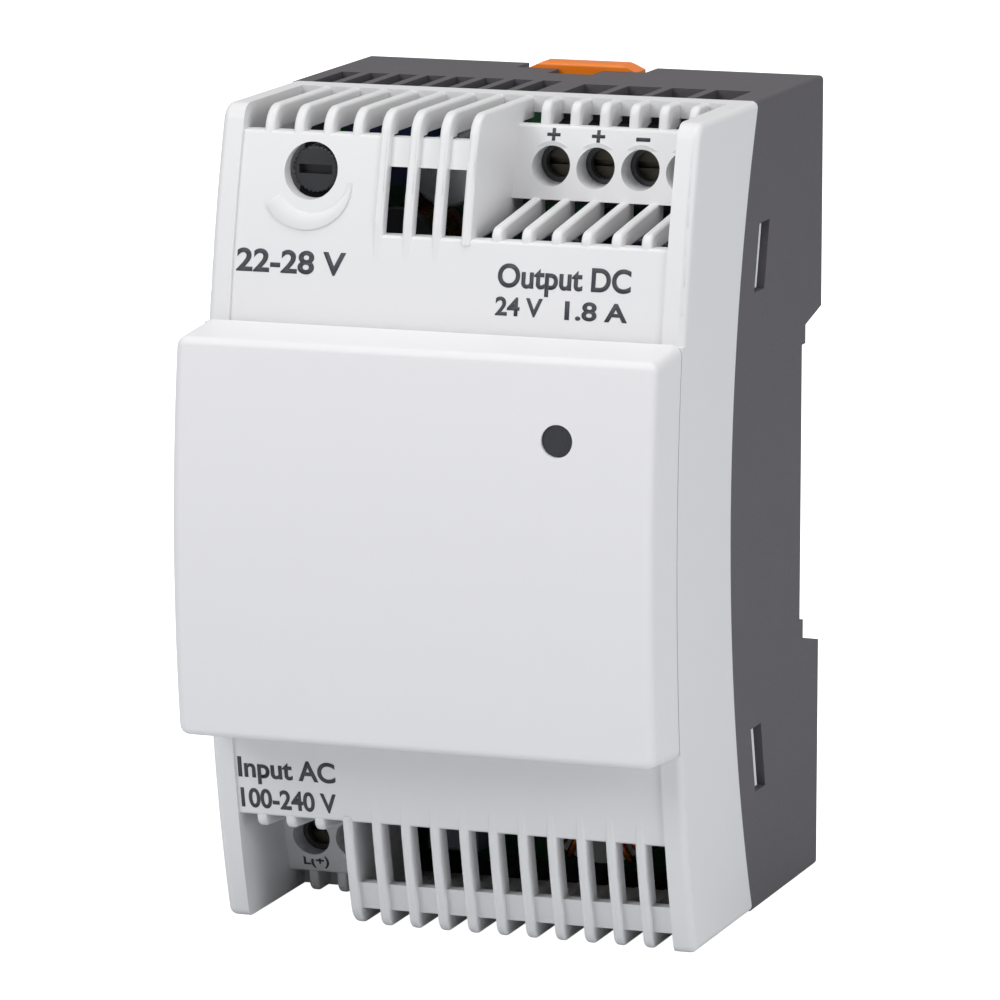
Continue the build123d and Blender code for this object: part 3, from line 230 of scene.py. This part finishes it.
def moulded(name, colour, roughness, grain=0.15, depth=0.004, mottle=0.03, ior=1.53):
    """A moulded plastic, resin or ink.

    Grain is the width and depth the relief of the mould's texture, in mm; mottle is the spread of its colour.
    """
    material, tree = new_material(name)
    place = add(tree, "TexCoord").outputs["Object"]
    cloud = add(tree, "TexNoise", {"Vector": place, "Scale": 1 / (CLOUD_SIZE * MM), "Detail": 3.0})
    tint = add(tree, "Mix", {"Factor": cloud.outputs["Fac"], "A": shade(colour, 1 - mottle),
                             "B": shade(colour, 1 + mottle)}, data_type="RGBA")
    texture = add(tree, "TexNoise", {"Vector": place, "Scale": 1 / (grain * MM), "Detail": 2.0})
    rough = add(tree, "MapRange", {"Value": texture.outputs["Fac"],
                                   "To Min": roughness - PLASTIC_ROUGHNESS_SPREAD,
                                   "To Max": roughness + PLASTIC_ROUGHNESS_SPREAD})
    relief = add(tree, "Bump", {"Height": texture.outputs["Fac"], "Strength": 1.0, "Distance": depth * MM})
    shader = add(tree, "BsdfPrincipled", {
        "Base Color": tint.outputs["Result"], "Roughness": rough.outputs["Result"], "IOR": ior,
        "Normal": relief.outputs["Normal"]})
    close(tree, shader)
    return material


def metal(name, colour, roughness, grain=0.1, depth=0.003, stretch=(1, 1, 1)):
    """A bare or plated metal: its grain may be stretched along a drawn or brushed direction."""
    material, tree = new_material(name)
    place = add(tree, "TexCoord").outputs["Object"]
    drawn = add(tree, "Mapping", {"Vector": place, "Scale": stretch})
    texture = add(tree, "TexNoise", {"Vector": drawn.outputs["Vector"], "Scale": 1 / (grain * MM),
                                     "Detail": 3.0})
    darkest, lightest = METAL_SHADES
    below, above = METAL_ROUGHNESS_SPREAD
    tint = add(tree, "Mix", {"Factor": texture.outputs["Fac"], "A": shade(colour, darkest),
                             "B": shade(colour, lightest)}, data_type="RGBA")
    rough = add(tree, "MapRange", {"Value": texture.outputs["Fac"], "To Min": roughness - below,
                                   "To Max": roughness + above})
    relief = add(tree, "Bump", {"Height": texture.outputs["Fac"], "Strength": 1.0, "Distance": depth * MM})
    shader = add(tree, "BsdfPrincipled", {
        "Base Color": tint.outputs["Result"], "Metallic": 1.0, "Roughness": rough.outputs["Result"],
        "Normal": relief.outputs["Normal"]})
    close(tree, shader)
    return material


def satin_white(name, colours):
    """Satin white ABS, as the front housing and its turning mark are moulded."""
    return moulded(name, colours.housing, roughness=0.42, grain=0.25, depth=0.0015, mottle=0.006)


def case_materials(colours):
    """The plastics of the casing, by slot name."""
    return {
        # ABS from a satin mould: broad soft highlights on an even, faintly cool white
        "white_housing": satin_white("satin white ABS", colours),
        # ABS from a finely textured mould: a little more matt than the housing beside it
        "white_cover": moulded("fine textured white ABS", colours.cover, roughness=0.5, grain=0.18,
                               depth=0.003, mottle=0.006),
        # Polyamide from a spark eroded mould: a speckled matt grey. Its grain is drawn coarser than the
        # real one, so that it shows
        "anthracite_housing": moulded("spark eroded anthracite polyamide", colours.base, roughness=0.55,
                                      grain=0.35, depth=0.03, mottle=0.05),
        # Coloured acetal: a saturated orange with a waxy sheen
        "orange_latch": moulded("orange acetal", colours.latch, roughness=0.35, grain=0.3, depth=0.002),
        # Polyamide, deep in the recesses: dark and dull
        "terminal_plastic": moulded("grey polyamide", "#3E4042", roughness=0.5),
        # Tinted acrylic that is dark until the lamp behind it is lit
        "indicator_lens": moulded("smoked indicator lens", "#2C2C2F", roughness=0.28, grain=0.5,
                                  depth=0.0005),
        # Nylon: black with a soft sheen
        "adjuster_plastic": moulded("black adjuster nylon", "#222225", roughness=0.45),
    }


def board_materials():
    """The plastics, resins and coatings on the circuit board, by slot name."""
    return {
        # Cured solder mask: glossy green, a little cloudy over the copper under it
        "board_laminate": moulded("green solder mask", "#1F5E3B", roughness=0.3, grain=0.6, depth=0.002,
                                  mottle=0.1, ior=1.5),
        # Pressed phenolic: near black brown, slightly shiny
        "fuse_body": moulded("brown phenolic", "#2A1E1A", roughness=0.4),
        # Dipped epoxy: glossy, with the slow ripple of a coat that ran before it set
        "varistor_coating": moulded("blue dipped epoxy", "#20427F", roughness=0.25, grain=1.2, depth=0.02),
        # Moulded boxes with a smooth, slightly greasy sheen
        "film_capacitor_box": moulded("grey blue polypropylene", "#737E8C", roughness=0.4),
        "dark_capacitor_box": moulded("dark polypropylene", "#35363A", roughness=0.4),
        # Pressed and fired powder: charcoal, matt and gritty
        "ferrite": moulded("sintered ferrite", "#2C2C2E", roughness=0.55, grain=0.2, depth=0.01),
        # Powder coat on the ring: pale grey and even
        "choke_coating": moulded("epoxy coated ring", "#C3C7C6", roughness=0.45),
        # Moulded polyester and epoxy: plain black, the device's the duller of the two
        "black_foot": moulded("black polyester", "#1C1C1E", roughness=0.45),
        "device_epoxy": moulded("black moulding epoxy", "#1A1A1C", roughness=0.5, grain=0.12, depth=0.006),
        # Shrunk film, drawn tight: glossy with faint long waves
        "capacitor_sleeve": moulded("dark violet shrink sleeve", "#2B1F38", roughness=0.25, grain=1.5,
                                    depth=0.01),
        # Glass fibres near the surface take the gloss off the nylon
        "bobbin_plastic": moulded("black glass filled nylon", "#222224", roughness=0.5),
        # Wound tape: bright yellow and shiny, with slight wrinkles
        "winding_tape": moulded("yellow polyester tape", "#D9B23A", roughness=0.3, grain=1.0, depth=0.004),
        # Dipped lacquer on a ceramic disc: glossy and a little uneven
        "disc_coating": moulded("blue dipped ceramic", "#27598F", roughness=0.3, grain=1.0, depth=0.015),
        # Cast epoxy with diffuser: glossy and milky green
        "led_lens": moulded("green diffusing epoxy", "#57A065", roughness=0.25),
        # Moulded thermoset: deep blue with a low gloss
        "trimmer_plastic": moulded("blue trimmer case", "#22305E", roughness=0.4),
    }


def metal_materials():
    """The metals, by slot name."""
    return {
        # Drawn wire: bright grey with sharp small highlights
        "spring_steel": metal("drawn spring steel", "#A9A9A8", roughness=0.3),
        # Tin plate: warm pale grey, softly reflecting
        "tinned_contact": metal("tin plated brass", "#C9C4B4", roughness=0.35),
        # Zinc plate: cooler and darker than the tin
        "zinc_steel": metal("zinc plated steel", "#A8ABAD", roughness=0.32),
        # Clear enamel over copper: a glossy red brown
        "enamelled_copper": metal("enamelled copper wire", "#C97440", roughness=0.25, grain=0.6),
        # Drawn can: smooth and pale, with soft highlights along its wall
        "aluminium_can": metal("drawn aluminium can", "#B9BBBD", roughness=0.28),
        # Rolled sheet: its grain runs one way, so its highlights are streaked
        "heatsink_aluminium": metal("rolled aluminium sheet", "#BFC1C3", roughness=0.35, grain=0.15,
                                    stretch=(1, 12, 1)),
    }


def make_materials(colours):
    """One material for each slot of the record, by slot name."""
    return case_materials(colours) | board_materials() | metal_materials()


def finish_cad_nodes(materials):
    """Give each CAD node the material of its slot, and the terminal screws a darker metal, painted shade for
    their deep holes.
    """
    # Zinc plated steel drawn darker as painted shade, standing for the shade down each screw's hole: a dark
    # warm grey that catches only a dim glint
    screw_metal_with_painted_shade = metal("terminal screw with painted shade", "#4E4A42", roughness=0.34)
    for part in frame["record"]["subparts"]:
        mesh = frame["nodes"][part["node"]].data
        mesh.materials.clear()
        is_screw = part["node"].startswith(("output_screw", "input_screw"))
        mesh.materials.append(screw_metal_with_painted_shade if is_screw else materials[part["material_slot"]])


# ---------------------------------------------------------------- modelling
def piece(name, bm, material, body="housing"):
    """Turn a bmesh in millimetres into a piece that rides on a body."""
    bmesh.ops.recalc_face_normals(bm, faces=bm.faces)
    bmesh.ops.scale(bm, vec=(MM, MM, MM), verts=bm.verts)
    mesh = bpy.data.meshes.new(name)
    bm.to_mesh(mesh)
    bm.free()
    mesh.materials.append(material)
    made = bpy.data.objects.new(name, mesh)
    bpy.context.collection.objects.link(made)
    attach(made, body)
    return made


def smooth(made, limit):
    """Shade smoothly over every edge that bends less than the limit, in degrees."""
    for face in made.data.polygons:
        face.use_smooth = True
    made.data.set_sharp_from_angle(angle=math.radians(limit))


def face_y(size, z, inset):
    """Where the shoulder's curved face lies at a height."""
    radius = (size.half_height ** 2 + size.face_rise ** 2) / (2 * size.face_rise)
    return radius - size.face_middle - math.sqrt((radius - inset) ** 2 - z * z)


def glyphs(text):
    """A bmesh of flat lettering, in the XZ plane with its lower left corner at the origin."""
    curve = bpy.data.curves.new("lettering", "FONT")
    curve.body = text
    curve.offset = LETTER_WEIGHT
    holder = bpy.data.objects.new("lettering", curve)
    bpy.context.collection.objects.link(holder)
    bpy.context.view_layer.update()
    mesh = bpy.data.meshes.new_from_object(holder)
    bpy.data.objects.remove(holder)
    bm = bmesh.new()
    bm.from_mesh(mesh)
    bmesh.ops.remove_doubles(bm, verts=bm.verts, dist=1e-5)
    stand_up(bm)
    low_x = min(vert.co.x for vert in bm.verts)
    low_z = min(vert.co.z for vert in bm.verts)
    bmesh.ops.translate(bm, verts=bm.verts, vec=(-low_x, 0, -low_z))
    return bm


def fitted(bm, x_low, x_high, z_low, z_high):
    """Stretch flat lettering to fill a rectangle."""
    width = max(vert.co.x for vert in bm.verts)
    height = max(vert.co.z for vert in bm.verts)
    bmesh.ops.scale(bm, vec=((x_high - x_low) / width, 1, (z_high - z_low) / height), verts=bm.verts)
    bmesh.ops.translate(bm, verts=bm.verts, vec=(x_low, 0, z_low))


def stand_up(bm):
    """Turn what lies in the XY plane up into the XZ plane."""
    bmesh.ops.rotate(bm, verts=bm.verts, cent=(0, 0, 0), matrix=Matrix.Rotation(math.pi / 2, 3, "X"))


def extrude_y(bm, faces, distance):
    """Extrude faces along Y; a negative distance goes towards the front."""
    made = bmesh.ops.extrude_face_region(bm, geom=faces)["geom"]
    moved = [item for item in made if isinstance(item, bmesh.types.BMVert)]
    bmesh.ops.translate(bm, verts=moved, vec=(0, distance, 0))


def join_into(bm, other):
    """Move everything of another bmesh into this one."""
    mesh = bpy.data.meshes.new("part")
    other.to_mesh(mesh)
    other.free()
    bm.from_mesh(mesh)
    bpy.data.meshes.remove(mesh)


# ---------------------------------------------------------------- operators
class MakeMaterials(bpy.types.Operator):
    """Make every material and put it on the nodes that keep their CAD shape"""
    bl_idname = "supply.make_materials"
    bl_label = "Materials"

    def execute(self, context):
        finish_cad_nodes(make_materials(context.scene.supply_colours))
        return {"FINISHED"}


def area_light(name, place, aim, size, power):
    """A soft box at a place, turned towards a point."""
    data = bpy.data.lights.new(name, "AREA")
    data.shape = "RECTANGLE"
    data.size, data.size_y = size
    data.energy = power
    lamp = bpy.data.objects.new(name, data)
    lamp.location = place
    lamp.rotation_euler = (Vector(aim) - Vector(place)).to_track_quat("-Z", "Y").to_euler()
    bpy.context.collection.objects.link(lamp)


class MakeStage(bpy.types.Operator):
    """Make the pale floor, the soft lights, the surroundings and the camera"""
    bl_idname = "supply.make_stage"
    bl_label = "Stage"

    azimuth: FloatProperty(name="Azimuth", description="Camera to the right of the front",
                           default=math.radians(19.25), unit="ROTATION")
    elevation: FloatProperty(name="Elevation", description="Camera above the horizon",
                             default=math.radians(10.43), unit="ROTATION")
    roll: FloatProperty(name="Roll", description="Camera's tilt about its own axis",
                        default=math.radians(0.06), unit="ROTATION")
    lens: FloatProperty(name="Lens", description="Focal length in mm on the camera's sensor", default=257.0)
    aim: FloatVectorProperty(name="Aim", description="The point that the camera looks at",
                             subtype="TRANSLATION", default=(-0.54 * MM, -24.09 * MM, 0.50 * MM))

    def execute(self, context):
        size = millimetres(context.scene.supply_sizes)
        self.make_floor(size)
        self.make_lights()
        self.make_camera(size)
        context.scene.view_settings.view_transform = "Standard"
        return {"FINISHED"}

    def make_floor(self, size):
        """A flat square that the object stands on."""
        bm = bmesh.new()
        bmesh.ops.create_grid(bm, x_segments=1, y_segments=1, size=size.floor_size / 2 * MM)
        bmesh.ops.translate(bm, verts=bm.verts, vec=(0, 0, cad_low.z))
        mesh = bpy.data.meshes.new("floor")
        bm.to_mesh(mesh)
        bm.free()
        mesh.materials.append(self.lit_paper())
        floor = bpy.data.objects.new("floor", mesh)
        bpy.context.collection.objects.link(floor)

    def lit_paper(self):
        """Paper that looks pure white, and reflects a cooler light onto the object than it shows."""
        material, tree = new_material("lit white paper")
        seen = add(tree, "LightPath").outputs["Is Camera Ray"]
        shader = add(tree, "BsdfPrincipled", {"Base Color": linear("#D6D9DD"), "Roughness": 0.8,
                                              "Emission Color": linear("#FFFFFF"), "Emission Strength": seen})
        close(tree, shader)
        return material

    def make_lights(self):
        """Even surroundings and three soft boxes."""
        world = bpy.data.worlds.new("soft surroundings")
        world.use_nodes = True
        background = world.node_tree.nodes["Background"]
        background.inputs["Color"].default_value = (1.0, 1.0, 1.0, 1.0)
        background.inputs["Strength"].default_value = SURROUNDINGS
        bpy.context.scene.world = world
        for name, place, lamp_size, power in SOFT_BOXES:
            area_light(name, place, LIGHT_AIM, lamp_size, power)

    def make_camera(self, size):
        """A long lens that looks at the object from its right and from above."""
        azimuth, elevation = self.azimuth, self.elevation
        back = Vector((math.sin(azimuth) * math.cos(elevation), -math.cos(azimuth) * math.cos(elevation),
                       math.sin(elevation)))
        right = Vector((math.cos(azimuth), math.sin(azimuth), 0))
        up = back.cross(right)
        turned_right = math.cos(self.roll) * right + math.sin(self.roll) * up
        turned_up = back.cross(turned_right)
        data = bpy.data.cameras.new("camera")
        data.lens = self.lens
        data.sensor_width = SENSOR_WIDTH
        data.clip_end = CLIP_END
        camera = bpy.data.objects.new("camera", data)
        turn = Matrix((turned_right, turned_up, back)).transposed().to_4x4()
        place = Vector(self.aim) + back * size.camera_distance * MM
        camera.matrix_world = Matrix.Translation(place) @ turn
        bpy.context.collection.objects.link(camera)
        bpy.context.scene.camera = camera


class MakeMarkings(bpy.types.Operator):
    """Print the lettering on the shoulders and in the terminal recesses"""
    bl_idname = "supply.make_markings"
    bl_label = "Printed markings"

    def execute(self, context):
        size = millimetres(context.scene.supply_sizes)
        # Pad printed ink: flat, matt and a soft dark grey rather than black
        ink = moulded("pad printing ink", context.scene.supply_colours.ink, roughness=0.55, grain=0.2,
                      depth=0.0005, mottle=0.04)
        bm = bmesh.new()
        for text, x_low, x_high, z_low, z_high in SHOULDER_TEXT:
            line = glyphs(text)
            fitted(line, x_low, x_high, z_low, z_high)
            join_into(bm, line)
        for vert in bm.verts:
            vert.co.y = face_y(size, vert.co.z, size.face_inset) - INK_LIFT * size.ink_depth
        extrude_y(bm, bm.faces[:], -size.ink_depth)
        piece("shoulder_markings", bm, ink)
        bm = bmesh.new()
        for text, middle, half, z_low, z_high in RECESS_TEXT:
            letter = glyphs(text)
            fitted(letter, middle - half, middle + half, z_low, z_high)
            join_into(bm, letter)
        (low, low_y), (high, high_y) = RECESS_LINE
        for vert in bm.verts:
            share = (abs(vert.co.z) - low) / (high - low)
            vert.co.y = low_y + share * (high_y - low_y) - INK_LIFT * size.ink_depth
        extrude_y(bm, bm.faces[:], -size.ink_depth)
        piece("terminal_markings", bm, ink)
        return {"FINISHED"}


class MakeCrescent(bpy.types.Operator):
    """Raise the turning mark round the adjuster, moulded with the front housing"""
    bl_idname = "supply.make_crescent"
    bl_label = "Adjuster's crescent"

    def execute(self, context):
        size = millimetres(context.scene.supply_sizes)
        bm = self.outline(size)
        for vert in bm.verts:
            vert.co.y = face_y(size, vert.co.z, size.face_inset) + CRESCENT_ROOT
        extrude_y(bm, bm.faces[:], -(size.crescent_height + CRESCENT_ROOT))
        bm.normal_update()
        rim = [edge for edge in bm.edges
               if edge.calc_face_angle(0) > RIM_BEND
               and min(face.normal.y for face in edge.link_faces) < FRONT_FACING]
        bmesh.ops.bevel(bm, geom=rim, offset=CRESCENT_EDGE, segments=2, profile=0.5, affect="EDGES",
                        material=-1)
        # The same satin ABS as the housing, so that only its edge tells it from the plate
        plastic = satin_white("satin white ABS crescent", context.scene.supply_colours)
        smooth(piece("adjuster_crescent", bm, plastic), limit=35)
        return {"FINISHED"}

    def outline(self, size):
        """A flat crescent that thins out to the right."""
        bm = bmesh.new()
        x, z = ADJUSTER_X, size.half_height - size.adjuster_drop
        rails = []
        for start, slope, curve in CRESCENT_RADII:
            line = []
            for step in range(CRESCENT_STEPS + 1):
                share = step / CRESCENT_STEPS
                angle = CRESCENT_START + share * (CRESCENT_END - CRESCENT_START)
                reach = start + slope * share + curve * share ** 2
                line.append(bm.verts.new((x + reach * math.cos(angle), 0, z + reach * math.sin(angle))))
            rails += [bm.edges.new(pair) for pair in zip(line, line[1:])]
        bmesh.ops.bridge_loops(bm, edges=rails)
        return bm


class MakeChoke(bpy.types.Operator):
    """Wind the choke's two coils, one wire turn at a time"""
    bl_idname = "supply.make_choke"
    bl_label = "Choke windings"

    def execute(self, context):
        size = millimetres(context.scene.supply_sizes)
        # Clear enamel over copper, its colour lighter than the other coils' as painted light, so that it
        # shows in the shade of the windows
        copper = metal("enamelled copper wire turns painted lighter", "#D0783C", roughness=0.25, grain=0.6)
        bm = bmesh.new()
        for side in (0, math.pi):
            for turn in range(CHOKE_TURNS):
                angle = side + CHOKE_SPREAD * (2 * turn / (CHOKE_TURNS - 1) - 1)
                join_into(bm, self.wire_turn(size, angle))
        bmesh.ops.translate(bm, verts=bm.verts, vec=CHOKE_PLACE)
        coils = piece("choke_wire_turns", bm, copper)
        smooth(coils, limit=60)
        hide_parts("choke_windings")
        return {"FINISHED"}

    def wire_turn(self, size, angle):
        """One turn round the ring's section, squared off to lie against it."""
        bm = bmesh.new()
        bmesh.ops.create_circle(bm, segments=WIRE_SIDES, radius=size.choke_wire / 2)
        stand_up(bm)
        bmesh.ops.translate(bm, verts=bm.verts, vec=(WIRE_HALF[0], 0, 0))
        bmesh.ops.spin(bm, geom=bm.verts[:] + bm.edges[:], cent=(0, 0, 0), axis=(0, 0, 1), angle=TURN,
                       steps=WIRE_STEPS, use_merge=True)
        for vert in bm.verts:
            away = math.hypot(vert.co.x, vert.co.y)
            cosine, sine = vert.co.x / away, vert.co.y / away
            squared = abs(cosine / WIRE_HALF[0]) ** WIRE_SQUARE + abs(sine / WIRE_HALF[1]) ** WIRE_SQUARE
            reach = squared ** (-1 / WIRE_SQUARE) + away - WIRE_HALF[0]
            vert.co.x, vert.co.y = cosine * reach, sine * reach
        bmesh.ops.translate(bm, verts=bm.verts, vec=(size.choke_radius, 0, 0))
        bmesh.ops.rotate(bm, verts=bm.verts, cent=(0, 0, 0), matrix=Matrix.Rotation(angle, 3, "Y"))
        return bm


class MakeLatchSpring(bpy.types.Operator):
    """Coil the latch's return spring, fixed to the housing"""
    bl_idname = "supply.make_latch_spring"
    bl_label = "Latch spring"

    def execute(self, context):
        size = millimetres(context.scene.supply_sizes)
        bm = bmesh.new()
        bmesh.ops.create_circle(bm, segments=SPRING_SIDES, radius=size.spring_wire / 2)
        stand_up(bm)
        bmesh.ops.translate(bm, verts=bm.verts, vec=(size.spring_radius, 0, 0))
        steps = SPRING_TURNS * SPRING_STEPS
        bmesh.ops.spin(bm, geom=bm.verts[:] + bm.edges[:], cent=(0, 0, 0), axis=(0, 0, 1),
                       dvec=(0, 0, SPRING_PITCH / SPRING_STEPS), angle=TURN * SPRING_TURNS, steps=steps)
        bmesh.ops.holes_fill(bm, edges=[edge for edge in bm.edges if edge.is_boundary])
        bmesh.ops.translate(bm, verts=bm.verts, vec=SPRING_PLACE)
        # Drawn wire: bright grey with sharp small highlights
        steel = metal("drawn spring wire", "#A9A9A8", roughness=0.3)
        spring = piece("latch_spring_coil", bm, steel)
        smooth(spring, limit=60)
        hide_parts("latch_spring")
        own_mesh(spring)
        return {"FINISHED"}


class MakeAdjuster(bpy.types.Operator):
    """Make the adjuster: a serrated head with a driver slot on its long shaft"""
    bl_idname = "supply.make_adjuster"
    bl_label = "Adjuster"

    def execute(self, context):
        size = millimetres(context.scene.supply_sizes)
        z = size.half_height - size.adjuster_drop
        front = face_y(size, z, size.face_inset) + size.adjuster_face
        bm = self.head(size)
        join_into(bm, self.shaft(front))
        bmesh.ops.translate(bm, verts=bm.verts, vec=(ADJUSTER_X, front, z))
        # Moulded nylon: black, with a soft sheen along the serrations' edges
        nylon = moulded("black adjuster head", "#2A2A2E", roughness=0.4, grain=0.3, depth=0.003, mottle=0.05)
        adjuster = piece("adjuster_spindle", bm, nylon, "adjuster")
        smooth(adjuster, limit=30)
        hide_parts("trimmer_spindle")
        return {"FINISHED"}

    def head(self, size):
        """A notched disc with a softened rim and a blind slot."""
        bm = bmesh.new()
        bmesh.ops.create_circle(bm, cap_ends=True, segments=SERRATION_POINTS * SERRATIONS,
                                radius=size.adjuster_radius)
        stand_up(bm)
        bm.verts.ensure_lookup_table()
        valleys = [vert for vert in bm.verts if vert.index % SERRATION_POINTS == 0]
        bmesh.ops.scale(bm, vec=(VALLEY_REACH, 1, VALLEY_REACH), verts=valleys)
        extrude_y(bm, bm.faces[:], HEAD_DEPTH)
        rim = [edge for edge in bm.edges if max(abs(vert.co.y) for vert in edge.verts) < NEAR]
        bmesh.ops.bevel(bm, geom=rim, offset=HEAD_EDGE, segments=3, profile=0.5, affect="EDGES", material=-1)
        half_length, half_width = SLOT_HALF
        for place, normal in (((half_length, 0, 0), (1, 0, 0)), ((-half_length, 0, 0), (1, 0, 0)),
                              ((0, 0, half_width), (0, 0, 1)), ((0, 0, -half_width), (0, 0, 1))):
            bmesh.ops.bisect_plane(bm, geom=bm.verts[:] + bm.edges[:] + bm.faces[:], plane_co=place,
                                   plane_no=normal)
        slot = []
        for face in bm.faces:
            middle = face.calc_center_median()
            if middle.y < NEAR and abs(middle.x) < half_length and abs(middle.z) < half_width:
                slot.append(face)
        extrude_y(bm, slot, SLOT_DEPTH)
        bmesh.ops.delete(bm, geom=[face for face in slot if face.is_valid], context="FACES")
        return bm

    def shaft(self, front):
        """The round shaft behind the head, into the trimmer's socket."""
        bm = bmesh.new()
        bmesh.ops.create_circle(bm, cap_ends=True, segments=SHAFT_SIDES, radius=SHAFT_RADIUS)
        stand_up(bm)
        bmesh.ops.translate(bm, verts=bm.verts, vec=(0, HEAD_DEPTH, 0))
        extrude_y(bm, bm.faces[:], SHAFT_END - front - HEAD_DEPTH)
        return bm


CLASSES = (SupplySizes, SupplyColours, MakeMaterials, MakeStage, MakeMarkings, MakeCrescent, MakeChoke,
           MakeLatchSpring, MakeAdjuster)
STEPS = ("make_stage", "make_materials", "make_markings", "make_crescent", "make_choke", "make_latch_spring",
         "make_adjuster")


class SupplyPanel(bpy.types.Panel):
    """Lists the operators that build the pieces"""
    bl_idname = "VIEW3D_PT_power_supply"
    bl_label = "Power Supply"
    bl_space_type = "VIEW_3D"
    bl_region_type = "UI"
    bl_category = "Power Supply"

    def draw(self, context):
        for step in STEPS:
            self.layout.operator("supply." + step)


def register():
    for cls in CLASSES + (SupplyPanel,):
        bpy.utils.register_class(cls)
    bpy.types.Scene.supply_sizes = PointerProperty(type=SupplySizes)
    bpy.types.Scene.supply_colours = PointerProperty(type=SupplyColours)


def unregister():
    del bpy.types.Scene.supply_colours
    del bpy.types.Scene.supply_sizes
    for cls in reversed(CLASSES + (SupplyPanel,)):
        bpy.utils.unregister_class(cls)


def main():
    register()
    for step in STEPS:
        getattr(bpy.ops.supply, step)()


if __name__ == "__main__":
    main()
